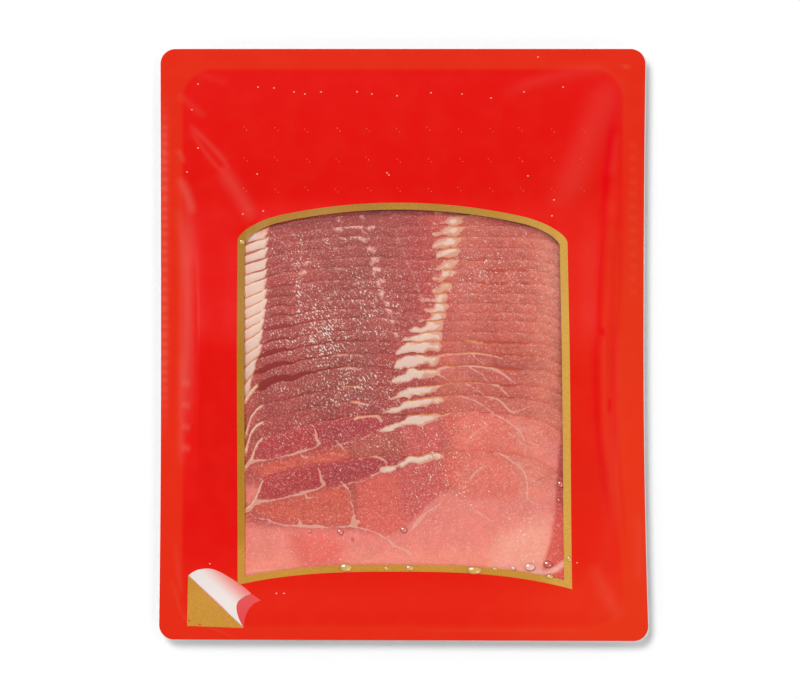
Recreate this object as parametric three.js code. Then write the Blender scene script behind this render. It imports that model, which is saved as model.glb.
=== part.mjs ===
// A sealed flat pack of sliced ham, lying on its back.
//
// A formed bottom web carries a fan of thin slices, laid like roof tiles, and a
// printed top film is sealed to the web's flange all round and drawn down over them.
// Millimetres, +Z up, +Y towards the pack's head, origin under the middle of its box.

import * as THREE from "three";

// ---- The pack's outline ----------------------------------------------------------
const HALF_LENGTH = 97.7; // head and foot edges, from the middle
const LEFT_EDGE = 80.1; // the long sides bow in a little at half height
const RIGHT_EDGE = 79.1;
const LEFT_FLARE = { head: 0.2, foot: 0.7 };
const RIGHT_FLARE = { head: 0.7, foot: 1.7 };
const FOOT_SKEW = 0.5; // the foot edge is cut slightly out of square
const CORNER_RADIUS = 5.0;

// ---- Film, web and flange --------------------------------------------------------
const FILM_THICKNESS = 0.3;
const WEB_THICKNESS = 0.4;
const SEAL_GAP = 0.3; // between film and web all round the flange
const FLANGE_HEIGHT = 4.2; // underside of the flange over the surface below
const POCKET = { left: -73.8, right: 73.0, head: 91.7, foot: -93.4, radius: 11 };
const WALL_REACH = 6.3; // the width that the pocket's wall and the film's slope take

// ---- The slices ------------------------------------------------------------------
const SLICE_THICKNESS = 0.68;
const SLICE_PITCH = 0.8; // from one slice's face to the next
const SLICE_HEIGHT = 47; // along Y, where it is tallest
const SLICE_LEFT = -66.5;
const SLICE_RIGHT = 63.5;
const FIRST_HEAD = 46.9; // head edge of the first slice, where it runs level
// How far each further slice slips towards the foot: it shows as much of the one below.
const SLIPS = [
  4.0, 3.6, 3.6, 3.6, 4.0, 3.3, 4.3, 3.6, 3.3, 3.0, 2.6, 3.6, 3.3, 4.3, 4.3, 5.6, 4.0, 5.6, 12.9,
];
// A head edge runs level in the middle and droops towards both ends, by "depth" after
// "reach" millimetres: "middle" slices droop "more", and each of the last few "further".
const LEFT_DROOP = { from: -19, reach: 33, power: 1.8, depth: 5.0, more: 2.3, further: 2.1 };
const RIGHT_DROOP = { from: 30, reach: 20.6, power: 2.0, depth: 1.0, more: 0.5, further: 1.3 };
const MIDDLE_SLICES = { from: 9, to: 12 };
const LOOSE_SLICES = 3; // the last few, which have slid furthest
const END_ROUNDING = 22; // how far the foot edge rises at a slice's two ends
const END_HEIGHT = 3; // and the least height left there

// ---- Heights under the stack -----------------------------------------------------
const FLOOR_HEAD = 2.9; // the web's floor under the first slice's head edge
const FLOOR_FOOT = 3.0; // and under the last slice's foot edge
const CLEAR = 0.12; // between the web's floor and the lowest slice
const FILM_CLEAR = 0.55; // between the stack and the film
const ENVELOPE_LEAD = 1.0; // slices by which the film's slope runs ahead of the steps

const COLOURS = {
  film: { color: 0xe41814, roughness: 0.35 },
  web: { color: 0xe8e6e2, roughness: 0.3 },
  slice: { color: 0xc0625c, roughness: 0.4 },
};

const clamp = (value, low, high) => Math.min(Math.max(value, low), high);
const mix = (a, b, share) => a + (b - a) * share;
const smooth = (share) => share * share * (3 - 2 * share);

// ---- Where each slice lies -------------------------------------------------------
const headEdges = SLIPS.reduce((edges, slip) => [...edges, edges.at(-1) - slip], [FIRST_HEAD]);
const SLICES = headEdges.length;
const TOP_SLICE = SLICES - 1;
const FIRST_FOOT = FIRST_HEAD - SLICE_HEIGHT; // the slices fold down over this line
const LAST_FOOT = headEdges[TOP_SLICE] - SLICE_HEIGHT;
const CLOSE_SLICES = TOP_SLICE - 4; // the last few lie further apart
const SECOND_FOLD = headEdges[CLOSE_SLICES] - SLICE_HEIGHT; // and flatten out over this one
const FOLDS = [FIRST_FOOT, SECOND_FOLD];

// The web's floor: flat between the two folds, rising gently to the flange's level.
function floorHeight(y) {
  const flange = FLANGE_HEIGHT + WEB_THICKNESS;
  if (y > FIRST_HEAD) {
    return mix(FLOOR_HEAD, flange, clamp((y - FIRST_HEAD) / (POCKET.head - FIRST_HEAD), 0, 1));
  }
  if (y > FIRST_FOOT) {
    return mix(WEB_THICKNESS, FLOOR_HEAD, (y - FIRST_FOOT) / SLICE_HEIGHT);
  }
  if (y > SECOND_FOLD) return WEB_THICKNESS;
  if (y > LAST_FOOT) {
    return mix(WEB_THICKNESS, FLOOR_FOOT, (SECOND_FOLD - y) / (SECOND_FOLD - LAST_FOOT));
  }
  return mix(FLOOR_FOOT, flange, clamp((LAST_FOOT - y) / (LAST_FOOT - POCKET.foot), 0, 1));
}

// How many slices have already ended on the floor, headwards of y.
function endedSlices(y) {
  if (y >= FIRST_FOOT) return 0;
  if (y >= SECOND_FOLD) return (CLOSE_SLICES * (FIRST_FOOT - y)) / (FIRST_FOOT - SECOND_FOLD);
  return mix(CLOSE_SLICES, TOP_SLICE, (SECOND_FOLD - y) / (SECOND_FOLD - LAST_FOOT));
}

// Where a slice's foot edge meets the floor: evenly spaced, so the slices' heights vary a little.
function footLine(index) {
  if (index <= CLOSE_SLICES) return mix(FIRST_FOOT, SECOND_FOLD, index / CLOSE_SLICES);
  return mix(SECOND_FOLD, LAST_FOOT, (index - CLOSE_SLICES) / (TOP_SLICE - CLOSE_SLICES));
}

const sliceUnderside = (index, y) =>
  floorHeight(y) + CLEAR + SLICE_PITCH * (index - endedSlices(y));

// How many slices have started, headwards of y, as a number that grows smoothly.
function startedSlices(y) {
  if (y >= FIRST_HEAD) return 0;
  for (let i = 0; i < TOP_SLICE; i++) {
    if (y >= headEdges[i + 1]) return i + (headEdges[i] - y) / SLIPS[i];
  }
  return TOP_SLICE;
}

// ---- The outline, by rows --------------------------------------------------------
function flared(edge, flare, y) {
  const share = y / HALF_LENGTH;
  return edge + (share > 0 ? flare.head : flare.foot) * share * share;
}

// A row across the pack: its height along Y and how far the corners cut it short.
function outlineRows(inner) {
  const corner = [90, 64, 38, 16].map((degrees) => {
    const angle = THREE.MathUtils.degToRad(degrees);
    return {
      y: HALF_LENGTH - CORNER_RADIUS * (1 - Math.sin(angle)),
      inset: CORNER_RADIUS * (1 - Math.cos(angle)),
    };
  });
  const foot = corner.map(({ y, inset }) => ({ y: -y, inset })).reverse();
  return [...corner, ...inner.map((y) => ({ y, inset: 0 })), ...foot];
}

function rowPoint({ y, inset }, across) {
  const left = -flared(LEFT_EDGE, LEFT_FLARE, y) + inset;
  const right = flared(RIGHT_EDGE, RIGHT_FLARE, y) - inset;
  const x = mix(left, right, across);
  const leftwards = (RIGHT_EDGE - x) / (2 * RIGHT_EDGE);
  const skew = y < 0 ? FOOT_SKEW * (y / HALF_LENGTH) ** 2 * leftwards : 0;
  return [x, y + skew];
}

// Distance inside the pocket's rounded outline, 0 on the flange.
function insidePocket(x, y) {
  const middleX = (POCKET.left + POCKET.right) / 2;
  const middleY = (POCKET.head + POCKET.foot) / 2;
  const beyondX = Math.abs(x - middleX) - ((POCKET.right - POCKET.left) / 2 - POCKET.radius);
  const beyondY = Math.abs(y - middleY) - ((POCKET.head - POCKET.foot) / 2 - POCKET.radius);
  const outside = Math.hypot(Math.max(beyondX, 0), Math.max(beyondY, 0));
  const distance = outside + Math.min(Math.max(beyondX, beyondY), 0) - POCKET.radius;
  return Math.max(-distance, 0);
}

const wallShare = (x, y) => smooth(clamp(insidePocket(x, y) / WALL_REACH, 0, 1));

function webTop(x, y) {
  return mix(FLANGE_HEIGHT + WEB_THICKNESS, floorHeight(y), wallShare(x, y));
}

function filmTop(x, y) {
  const flange = FLANGE_HEIGHT + WEB_THICKNESS + SEAL_GAP + FILM_THICKNESS;
  const held = (at, index) =>
    sliceUnderside(index, at) + SLICE_THICKNESS + FILM_CLEAR + FILM_THICKNESS;
  let middle;
  if (y > FIRST_HEAD) {
    const share = clamp((y - FIRST_HEAD) / (POCKET.head - FIRST_HEAD), 0, 1);
    middle = mix(held(FIRST_HEAD, 0), flange, share);
  } else if (y < LAST_FOOT) {
    const share = clamp((LAST_FOOT - y) / (LAST_FOOT - POCKET.foot), 0, 1);
    middle = mix(held(LAST_FOOT, TOP_SLICE), flange, share);
  } else {
    const lead = ENVELOPE_LEAD * clamp((FIRST_HEAD - y) / SLIPS[0], 0, 1);
    middle = held(y, Math.min(startedSlices(y) + lead, TOP_SLICE));
  }
  return mix(flange, middle, wallShare(x, y));
}

// ---- Closed sheets ---------------------------------------------------------------
function meshOf(name, positions, indices, look) {
  const geometry = new THREE.BufferGeometry();
  geometry.setAttribute("position", new THREE.Float32BufferAttribute(positions, 3));
  geometry.setIndex(indices);
  geometry.computeVertexNormals();
  const mesh = new THREE.Mesh(geometry, new THREE.MeshStandardMaterial({ ...look, metalness: 0 }));
  mesh.name = name;
  return mesh;
}

// Joins a top skin and a bottom skin of the same triangles by a wall round their rim.
function closedSheet(name, points, triangles, rim, topOf, thickness, look) {
  const count = points.length;
  const skin = (drop) => points.flatMap(([x, y]) => [x, y, topOf(x, y) - drop]);
  const indices = triangles.flatMap(([a, b, c]) => [a, b, c, c + count, b + count, a + count]);
  rim.forEach((a, i) => {
    const b = rim[(i + 1) % rim.length];
    indices.push(a, a + count, b + count, a, b + count, b);
  });
  return meshOf(name, [...skin(0), ...skin(thickness)], indices, look);
}

function packSheet(name, topOf, thickness, look) {
  const wall = [0, 0.022, 0.04, 0.052, 0.065, 0.079];
  const middle = [0.19, 0.31, 0.43, 0.55, 0.67, 0.79];
  const across = [...wall, ...middle, ...wall.map((share) => 1 - share).reverse()];
  const slope = [0, 0.3, 0.6, 1].map((share) => share * WALL_REACH);
  const headRows = slope.map((reach) => POCKET.head - reach);
  const footRows = slope.map((reach) => POCKET.foot + reach).reverse();
  const headRange = [69, 54, FIRST_HEAD, 37, 29, 20, 10, FIRST_FOOT];
  const footRange = [-8, -16, -24, -36, -45, SECOND_FOLD, -65, -75, LAST_FOOT];
  const rows = outlineRows([...headRows, ...headRange, ...footRange, ...footRows]);
  const columns = across.length;
  const points = rows.flatMap((row) => across.map((share) => rowPoint(row, share)));
  const triangles = [];
  for (let r = 0; r < rows.length - 1; r++) {
    for (let c = 0; c < columns - 1; c++) {
      const a = r * columns + c;
      triangles.push([a, a + columns, a + columns + 1], [a, a + columns + 1, a + 1]);
    }
  }
  const last = (rows.length - 1) * columns;
  const rim = [];
  for (let r = 0; r < rows.length; r++) rim.push(r * columns);
  for (let c = 1; c < columns; c++) rim.push(last + c);
  for (let r = rows.length - 2; r >= 0; r--) rim.push(r * columns + columns - 1);
  for (let c = columns - 2; c > 0; c--) rim.push(c);
  return closedSheet(name, points, triangles, rim, topOf, thickness, look);
}

// ---- One slice -------------------------------------------------------------------
function droopDepth(droop, index) {
  const middle = (index - MIDDLE_SLICES.from) / (MIDDLE_SLICES.to - MIDDLE_SLICES.from);
  const loose = Math.max(index - (TOP_SLICE - LOOSE_SLICES), 0);
  return droop.depth + droop.more * clamp(middle, 0, 1) + droop.further * loose;
}

function headEdge(index, x) {
  const droop = x < 0 ? LEFT_DROOP : RIGHT_DROOP;
  const along = Math.max(((x - droop.from) * Math.sign(droop.from)) / droop.reach, 0);
  return headEdges[index] - droopDepth(droop, index) * along ** droop.power;
}

function footEdge(index, x) {
  const share = Math.abs(2 * x - SLICE_LEFT - SLICE_RIGHT) / (SLICE_RIGHT - SLICE_LEFT);
  return footLine(index) + END_ROUNDING * share ** 5;
}

// Columns across a slice, with one more wherever an edge crosses a fold line.
function sliceColumns(index) {
  const shares = [0, 0.03, 0.08, 0.15, 0.25, 0.36, 0.48, 0.6, 0.72, 0.82, 0.9, 0.96, 1];
  const columns = shares.map((share) => {
    const x = mix(SLICE_LEFT, SLICE_RIGHT, share);
    const head = headEdge(index, x);
    return { x, head, foot: Math.min(footEdge(index, x), head - END_HEIGHT) };
  });
  const crossings = [];
  for (let i = 0; i < columns.length - 1; i++) {
    const [a, b] = [columns[i], columns[i + 1]];
    for (const fold of FOLDS) {
      for (const key of ["head", "foot"]) {
        const share = (fold - a[key]) / (b[key] - a[key]);
        if (share > 0.001 && share < 0.999) {
          crossings.push({
            x: mix(a.x, b.x, share),
            head: mix(a.head, b.head, share),
            foot: mix(a.foot, b.foot, share),
          });
        }
      }
    }
  }
  return [...columns, ...crossings].sort((a, b) => a.x - b.x);
}

function hamSlice(index) {
  const points = [];
  const columns = sliceColumns(index).map(({ x, head, foot }) => {
    const heights = [head, ...FOLDS.map((fold) => clamp(fold, foot, head)), foot];
    let previous = null;
    return heights.map((y) => {
      if (previous === null || Math.abs(y - previous) > 1e-4) {
        points.push([x, y]);
        previous = y;
      }
      return points.length - 1;
    });
  });
  const triangles = [];
  const addTriangle = (a, b, c) => {
    if (a !== b && b !== c && a !== c) triangles.push([a, b, c]);
  };
  for (let i = 0; i < columns.length - 1; i++) {
    const [left, right] = [columns[i], columns[i + 1]];
    for (let k = 0; k < left.length - 1; k++) {
      addTriangle(left[k], left[k + 1], right[k + 1]);
      addTriangle(left[k], right[k + 1], right[k]);
    }
  }
  const distinct = (list) => list.filter((point, i) => point !== list[i - 1]);
  const down = distinct(columns[0]);
  const up = distinct(columns.at(-1)).reverse();
  const feet = columns.slice(1, -1).map((column) => column.at(-1));
  const heads = columns.slice(1, -1).map((column) => column[0]).reverse();
  const name = `slice_${String(index + 1).padStart(2, "0")}`;
  const topOf = (x, y) => sliceUnderside(index, y) + SLICE_THICKNESS;
  const rim = [...down, ...feet, ...up, ...heads];
  return closedSheet(name, points, triangles, rim, topOf, SLICE_THICKNESS, COLOURS.slice);
}

// ---- The pack --------------------------------------------------------------------
const pack = new THREE.Group();
pack.name = "sliced_ham_pack";
pack.add(packSheet("back_web", webTop, WEB_THICKNESS, COLOURS.web));

const stack = new THREE.Group();
for (let index = 0; index < SLICES; index++) stack.add(hamSlice(index));
pack.add(stack);

pack.add(packSheet("front_film", filmTop, FILM_THICKNESS, COLOURS.film));

export default pack;
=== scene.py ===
"""The looks of a sealed flat pack of sliced ham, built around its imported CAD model.

A printed red film with a clear window lies over a fan of twenty thin slices, and a formed white
tray carries them. Everything is worked out in millimetres, +Y towards the pack's head and +Z up,
and turned into metres where a mesh is made.
"""

import math

import bpy
import numpy as np
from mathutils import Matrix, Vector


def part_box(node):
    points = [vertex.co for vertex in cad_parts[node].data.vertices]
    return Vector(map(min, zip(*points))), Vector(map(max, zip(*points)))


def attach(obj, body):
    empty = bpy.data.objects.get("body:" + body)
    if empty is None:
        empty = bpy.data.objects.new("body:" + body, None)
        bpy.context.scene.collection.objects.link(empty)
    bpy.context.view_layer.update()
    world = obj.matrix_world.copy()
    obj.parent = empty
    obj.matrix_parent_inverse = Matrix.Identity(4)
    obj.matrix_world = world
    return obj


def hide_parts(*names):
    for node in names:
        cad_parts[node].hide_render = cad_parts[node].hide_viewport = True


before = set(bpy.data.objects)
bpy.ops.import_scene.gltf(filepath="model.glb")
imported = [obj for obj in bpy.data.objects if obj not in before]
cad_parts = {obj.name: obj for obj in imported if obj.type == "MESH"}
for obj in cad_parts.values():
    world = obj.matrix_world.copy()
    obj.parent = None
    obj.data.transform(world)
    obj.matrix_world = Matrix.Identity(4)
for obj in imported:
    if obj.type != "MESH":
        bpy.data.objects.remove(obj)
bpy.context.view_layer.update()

MM = 0.001
LIGHT_LEVEL = 1.06  # how much brighter than white paper's own white a level surface is lit

# ---- The pack, as the CAD model has it -------------------------------------------------
HALF_LENGTH = 97.7
LEFT_EDGE, LEFT_FLARE_HEAD, LEFT_FLARE_FOOT = 80.1, 0.2, 0.7
RIGHT_EDGE, RIGHT_FLARE_HEAD, RIGHT_FLARE_FOOT = 79.1, 0.7, 1.7
FOOT_SKEW = 0.5
CORNER_RADIUS = 5.0
POCKET_LEFT, POCKET_RIGHT = -73.8, 73.0
POCKET_HEAD, POCKET_FOOT = 91.7, -93.4
POCKET_RADIUS = 11.0
WALL_REACH = 6.3
SLICES = 20
CLOSE_SLICES = 15
LOOSE_SLICES = 3
SLICE_THICKNESS, SLICE_PITCH = 0.68, 0.8
SLICE_BODY = 0.74  # how thick a slice shows
EDGE_DROP, EDGE_REACH = 0.22, 1.2  # how the head edges thin out
SLICE_LEFT, SLICE_RIGHT = -66.5, 63.5
END_ROUNDING, END_HEIGHT = 22.0, 3.0
FLOOR_HEAD, FLOOR_MIDDLE, FLOOR_FOOT = 2.9, 0.4, 3.0
FLOOR_CLEAR = 0.12

# ---- The film and the tray as they show ------------------------------------------------
FILM_LEVEL = 5.0  # the film's face on the flange
FILM_SHEET = 0.18
TRAY_LEVEL = 4.78  # the tray's flange, just under the film
TRAY_SHEET = 0.4
TRAY_RIM = 0.3  # how far the tray's edge shows past the film at the right and at the foot
FILM_CLING = 0.35  # between the stack and the film
LEFT_SAG = 0.95  # how much lower the film hangs at the left
LOW_LEFT_SAG, LEFT_SIDE_SAG, RIGHT_SIDE_SAG = 0.4, 0.4, 0.45  # more low down, and at each side
ARCH_SAG, ARCH_LEFT_SAG = 0.25, 0.3  # under the arch, and how much more at its left
FILM_STEP = 0.66
TRAY_STEP = 1.3
SLICE_STEP = 0.42
INK = 0.05  # how far a printed patch stands over the film
SHARP_ANGLE = math.radians(50)
LINE_SPREAD = 3.5  # how many of its half widths a soft line reaches
LINE_BOX = 2.0  # how far round a line or a patch of fat the slices' points are looked at
FAR_OUTSIDE = -2.0  # what a field says far from everything that it draws
RING_STEPS = 4  # how finely a smooth ring is drawn between its points


def clamp(value, low=0.0, high=1.0):
    return np.minimum(np.maximum(value, low), high)


def ease(share):
    """Smoothly from 0 to 1. ease((x - start) / width) begins at that start and takes that width."""
    share = clamp(share)
    return share * share * (3 - 2 * share)


def mix(a, b, share):
    return a + (b - a) * share


def linear(red, green, blue):
    """A colour given as it looks, from 0 to 255, as the light it sends back."""
    shares = np.array([red, green, blue]) / 255
    return np.where(shares > 0.04045, ((shares + 0.055) / 1.055) ** 2.4, shares / 12.92)


def paint(red, green, blue):
    """The same colour for a surface that is lit to LIGHT_LEVEL."""
    return linear(red, green, blue) / LIGHT_LEVEL


def soft_noise(x, y, size, seed):
    """Smooth seeded noise from -1 to 1, with lumps of about that size."""
    lattice = np.random.default_rng(seed).uniform(-1, 1, (64, 64))
    u, v = x / size + 1000, y / size + 1000
    column, row = np.floor(u).astype(int), np.floor(v).astype(int)
    share_u, share_v = ease(u - column), ease(v - row)
    corner = [[lattice[(row + j) % 64, (column + i) % 64] for i in (0, 1)] for j in (0, 1)]
    near = mix(corner[0][0], corner[0][1], share_u)
    far = mix(corner[1][0], corner[1][1], share_u)
    return mix(near, far, share_v)


# ---- Lines and areas -------------------------------------------------------------------
def flowing(points, steps=5):
    """A smooth line through a few points."""
    points = np.array(points, float)
    padded = np.vstack([2 * points[0] - points[1], points, 2 * points[-1] - points[-2]])
    pieces = []
    for a, b, c, d in zip(padded, padded[1:], padded[2:], padded[3:]):
        t = np.arange(steps)[:, None] / steps
        bend = (2 * a - 5 * b + 4 * c - d) * t**2 + (3 * b - a - 3 * c + d) * t**3
        pieces.append(b + 0.5 * ((c - a) * t + bend))
    return np.vstack([*pieces, points[-1:]])


def line_distance(x, y, line):
    """How far each point is from a line, and how far along the line its nearest place is."""
    lengths = np.hypot(*np.diff(line, axis=0).T)
    before = np.concatenate([[0], np.cumsum(lengths)])
    nearest, along = np.full(x.shape, 1e9), np.zeros(x.shape)
    for (ax, ay), (bx, by), length, start in zip(line, line[1:], lengths, before):
        if length < 1e-9:
            continue
        share = clamp(((x - ax) * (bx - ax) + (y - ay) * (by - ay)) / length**2)
        distance = np.hypot(x - ax - share * (bx - ax), y - ay - share * (by - ay))
        closer = distance < nearest
        nearest = np.where(closer, distance, nearest)
        along = np.where(closer, (start + share * length) / before[-1], along)
    return nearest, along


def near_line(x, y, line, reach):
    """The places of the points that lie in the line's own box, widened by reach."""
    low, high = line.min(0) - reach, line.max(0) + reach
    return np.nonzero((x > low[0]) & (x < high[0]) & (y > low[1]) & (y < high[1]))[0]


def inside(x, y, ring):
    """True for the points inside a closed ring."""
    odd = np.zeros(x.shape, bool)
    for (ax, ay), (bx, by) in zip(ring, np.roll(ring, -1, axis=0)):
        if ay != by:
            odd ^= ((ay > y) != (by > y)) & (x < (bx - ax) * (y - ay) / (by - ay) + ax)
    return odd


def depth_inside(x, y, ring):
    """How far inside a closed ring each point is. Outside the ring it is below 0."""
    distance, _ = line_distance(x, y, ring)
    return np.where(inside(x, y, ring), distance, -distance)


def beside_line(x, y, line, reach):
    """The points near a line: which they are, how far off, and how far along it."""
    near = near_line(x, y, line, reach)
    return near, *line_distance(x[near], y[near], line)


def closed(ring):
    """The same ring with its first point again at the end."""
    return np.vstack([ring, ring[:1]])


def read_table(places, stops, rows):
    """Rows of values, read off between their stops."""
    return np.column_stack([np.interp(places, stops, column) for column in np.transpose(rows)])


# ---- Heights ---------------------------------------------------------------------------
def node_edges(node):
    low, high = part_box(node)
    return low.y / MM, high.y / MM


def cad_slice(index):
    return f"slice_{index + 1:02d}"


slice_feet, slice_heads = np.array([node_edges(cad_slice(i)) for i in range(SLICES)]).T
FIRST_HEAD, FIRST_FOOT = slice_heads[0], slice_feet[0]
SECOND_FOLD, LAST_FOOT = slice_feet[CLOSE_SLICES], slice_feet[-1]

table_step = 0.25
table_y = np.arange(-115, 115, table_step)


def softened(values, width):
    """The same run of heights with its corners rounded."""
    reach = int(3 * width / table_step)
    weights = np.exp(-0.5 * (np.arange(-reach, reach + 1) * table_step / width) ** 2)
    return np.convolve(np.pad(values, reach, mode="edge"), weights / weights.sum(), mode="valid")


floor_places = [POCKET_FOOT, LAST_FOOT, SECOND_FOLD, FIRST_FOOT, FIRST_HEAD, POCKET_HEAD]
floor_heights = [TRAY_LEVEL, FLOOR_FOOT, FLOOR_MIDDLE, FLOOR_MIDDLE, FLOOR_HEAD, TRAY_LEVEL]
floor_table = softened(np.interp(table_y, floor_places, floor_heights), 3.0)
ended_table = softened(
    np.interp(table_y, [LAST_FOOT, SECOND_FOLD, FIRST_FOOT], [SLICES - 1, CLOSE_SLICES, 0]), 3.0
)
started_table = np.interp(table_y, slice_heads[::-1], np.arange(SLICES)[::-1])
held_table = (
    floor_table + FLOOR_CLEAR + SLICE_PITCH * (started_table - ended_table)
    + SLICE_THICKNESS + FILM_CLING + FILM_SHEET
)
head_slope = clamp((table_y - FIRST_HEAD) / (POCKET_HEAD - FIRST_HEAD))
foot_slope = clamp((LAST_FOOT - table_y) / (LAST_FOOT - POCKET_FOOT))
held_table = mix(held_table, FILM_LEVEL, np.maximum(head_slope, foot_slope))
film_table = softened(held_table, 2.2)


def inside_pocket(x, y):
    """How far inside the pocket's rounded outline a point is, and 0 on the flange."""
    half_width = (POCKET_RIGHT - POCKET_LEFT) / 2 - POCKET_RADIUS
    half_height = (POCKET_HEAD - POCKET_FOOT) / 2 - POCKET_RADIUS
    beyond_x = np.abs(x - (POCKET_LEFT + POCKET_RIGHT) / 2) - half_width
    beyond_y = np.abs(y - (POCKET_HEAD + POCKET_FOOT) / 2) - half_height
    outside = np.hypot(np.maximum(beyond_x, 0), np.maximum(beyond_y, 0))
    return np.maximum(
        POCKET_RADIUS - outside - np.minimum(np.maximum(beyond_x, beyond_y), 0), 0
    )


def wall_share(x, y):
    """From 0 on the flange to 1 inside the pocket's sloping walls."""
    return ease(inside_pocket(x, y) / WALL_REACH)


def swell(x, y):
    """The stack's soft unevenness, which the film over it follows."""
    lumps = 0.6 * soft_noise(x, y, 17, 3) + 0.4 * soft_noise(x, y, 8, 4)
    return 0.11 * (1 + lumps) * ease((inside_pocket(x, y) - 3) / 12)


def drawn_in(x, y):
    """The seal's inner edge is drawn in at the right, most of all beside the stack's middle."""
    middle = ease((62 - y) / 50) * ease((y + 84) / 50)
    return x + 2.5 * middle * ease((x - 50) / 10)


def tray_height(x, y):
    return mix(TRAY_LEVEL, np.interp(y, table_y, floor_table), wall_share(x, y))


# ---- Folds in the film -----------------------------------------------------------------
# Each is a line, its half width, its height, and how much painted sheen lies along it.
FOLDS = [
    # The head's left corner: two crests with a hollow between them, which meet in one swell.
    ([(-70.6, 72.6), (-67.2, 69.2), (-62.9, 64.9), (-59.0, 60.4), (-57.4, 56.6)], 0.65, 0.20, 0.024),
    ([(-70.4, 71.0), (-66.9, 65.6), (-63.7, 61.2), (-60.4, 57.6), (-58.2, 56.2)], 0.55, 0.16, 0.018),
    ([(-60.2, 58.5), (-56.0, 52.0), (-52.3, 46.0), (-49.2, 40.5)], 1.7, 0.45, 0.028),
    ([(-74.4, 82.8), (-70.5, 79.2), (-65.0, 74.8)], 0.9, 0.14, 0.014),
    ([(-68.6, 89.3), (-63.0, 87.6), (-57.5, 85.6)], 0.9, 0.08, 0.007),
    # The left wall.
    ([(-74.6, 64.5), (-73.2, 61.8), (-72.4, 59.8)], 0.6, 0.10, 0.024),
    ([(-74.0, 55.5), (-71.8, 50.5), (-69.2, 42.8)], 1.0, 0.18, 0.040),
    ([(-74.4, 45.5), (-72.9, 37.0), (-72.0, 22.0), (-71.9, 5.0), (-72.6, -14.0)], 1.1, 0.18, 0.026),
    ([(-72.6, -2.0), (-73.0, -20.0), (-73.4, -41.0)], 1.0, 0.15, 0.020),
    # A fan from the head's right corner.
    ([(69.0, 91.2), (58.0, 89.8), (45.0, 87.0), (33.0, 82.5)], 1.5, 0.16, 0.012),
    ([(71.5, 89.0), (66.0, 78.0), (60.5, 66.0), (55.5, 54.0), (50.5, 44.0)], 3.4, 0.45, 0.017),
    ([(70.8, 70.0), (69.6, 62.0), (68.6, 55.0)], 1.2, 0.14, 0.010),
    ([(73.6, 92.6), (73.2, 91.0)], 0.8, 0.10, 0.024),
    # The right wall.
    ([(69.5, 10.0), (70.0, -8.0), (69.6, -30.0), (68.5, -55.0), (66.0, -74.0)], 2.0, 0.16, 0.006),
    ([(62.0, -72.0), (67.0, -82.0), (71.5, -90.5)], 1.6, 0.16, 0.014),
    ([(77.5, -55.0), (77.8, -70.0), (77.6, -80.0)], 1.0, 0.10, 0.010),
    # The foot: a crease from the left wall round the peel mark, and fine lines at the seal.
    ([(-77.4, -76.0), (-75.0, -82.5), (-72.3, -90.0), (-62.3, -93.9), (-54.5, -97.2)], 0.22, 0.10, 0.016),
    ([(-75.5, -65.0), (-74.4, -74.0), (-72.9, -82.5)], 0.5, 0.08, 0.010),
    ([(1.0, -94.2), (33.0, -94.4), (63.0, -94.3)], 0.25, 0.05, 0.008),
    # A band of painted sheen down the left wall, with no fold under it.
    ([(-72.6, 54.0), (-71.2, 42.0), (-70.9, 22.0), (-71.1, 2.0), (-71.8, -26.0)], 1.5, 0.0, 0.028),
]
# Short low folds with painted sheen across the left wall, and a row of faint sheen dashes on the right
# flange.
FOLDS += [([(-73.4, y + 0.4), (-70.2, y - 0.4)], 0.8, 0.03, 0.035) for y in (-12.5, -19.8, -27, -34)]
FOLDS += [([(74.3, y), (77.2, y - 0.5)], 0.7, 0.03, 0.009) for y in range(66, 16, -4)]


def fold_fields(x, y):
    """The folds' height, and the painted sheen along them."""
    height, sheen = np.zeros(x.shape), np.zeros(x.shape)
    for points, width, crest, painted_sheen in FOLDS:
        near, distance, along = beside_line(x, y, flowing(points), LINE_SPREAD * width)
        across = np.exp(-0.5 * (distance / width) ** 2)
        fading = clamp(np.minimum(along, 1 - along) / 0.2) ** 0.7
        height[near] += crest * across * fading
        sheen[near] += painted_sheen * across * fading
    return height, sheen


def film_height(x, y):
    """The film follows the stack, and sags at the left, at the right and under the arch."""
    deeper = LOW_LEFT_SAG * ease((-8 - y) / 12) * ease((y + 40) / 8)
    sag = (LEFT_SAG + deeper) * ease((-43.5 - x) / 8)
    sag = sag * ease((FIRST_HEAD + 4 - y) / 22) * ease((y + 53) / 10)
    on_stack = ease((y + 42) / 8)
    at_left = ease((-50.6 - x) / 1.6) * ease((x + 67) / 9)
    at_right = ease((x - 47.5) / 3) * ease((66 - x) / 9)
    sag += LEFT_SIDE_SAG * at_left * on_stack * ease((46 - y) / 14)
    sag += RIGHT_SIDE_SAG * at_right * on_stack * ease((46 - y) / 16)
    under_arch = ease((y - 30) / 8) * ease((62 - y) / 14) * ease((56 - abs(x + 1)) / 9)
    sag += (ARCH_SAG + ARCH_LEFT_SAG * ease((-20 - x) / 12)) * under_arch
    held = np.interp(y, table_y, film_table) + swell(x, y) - sag
    return mix(FILM_LEVEL, held, wall_share(drawn_in(x, y), y)) + fold_fields(x, y)[0]


# ---- Meshes ----------------------------------------------------------------------------
def placed(name, data):
    """An object that holds the data, linked into the scene."""
    made = bpy.data.objects.new(name, data)
    bpy.context.scene.collection.objects.link(made)
    return made


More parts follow.
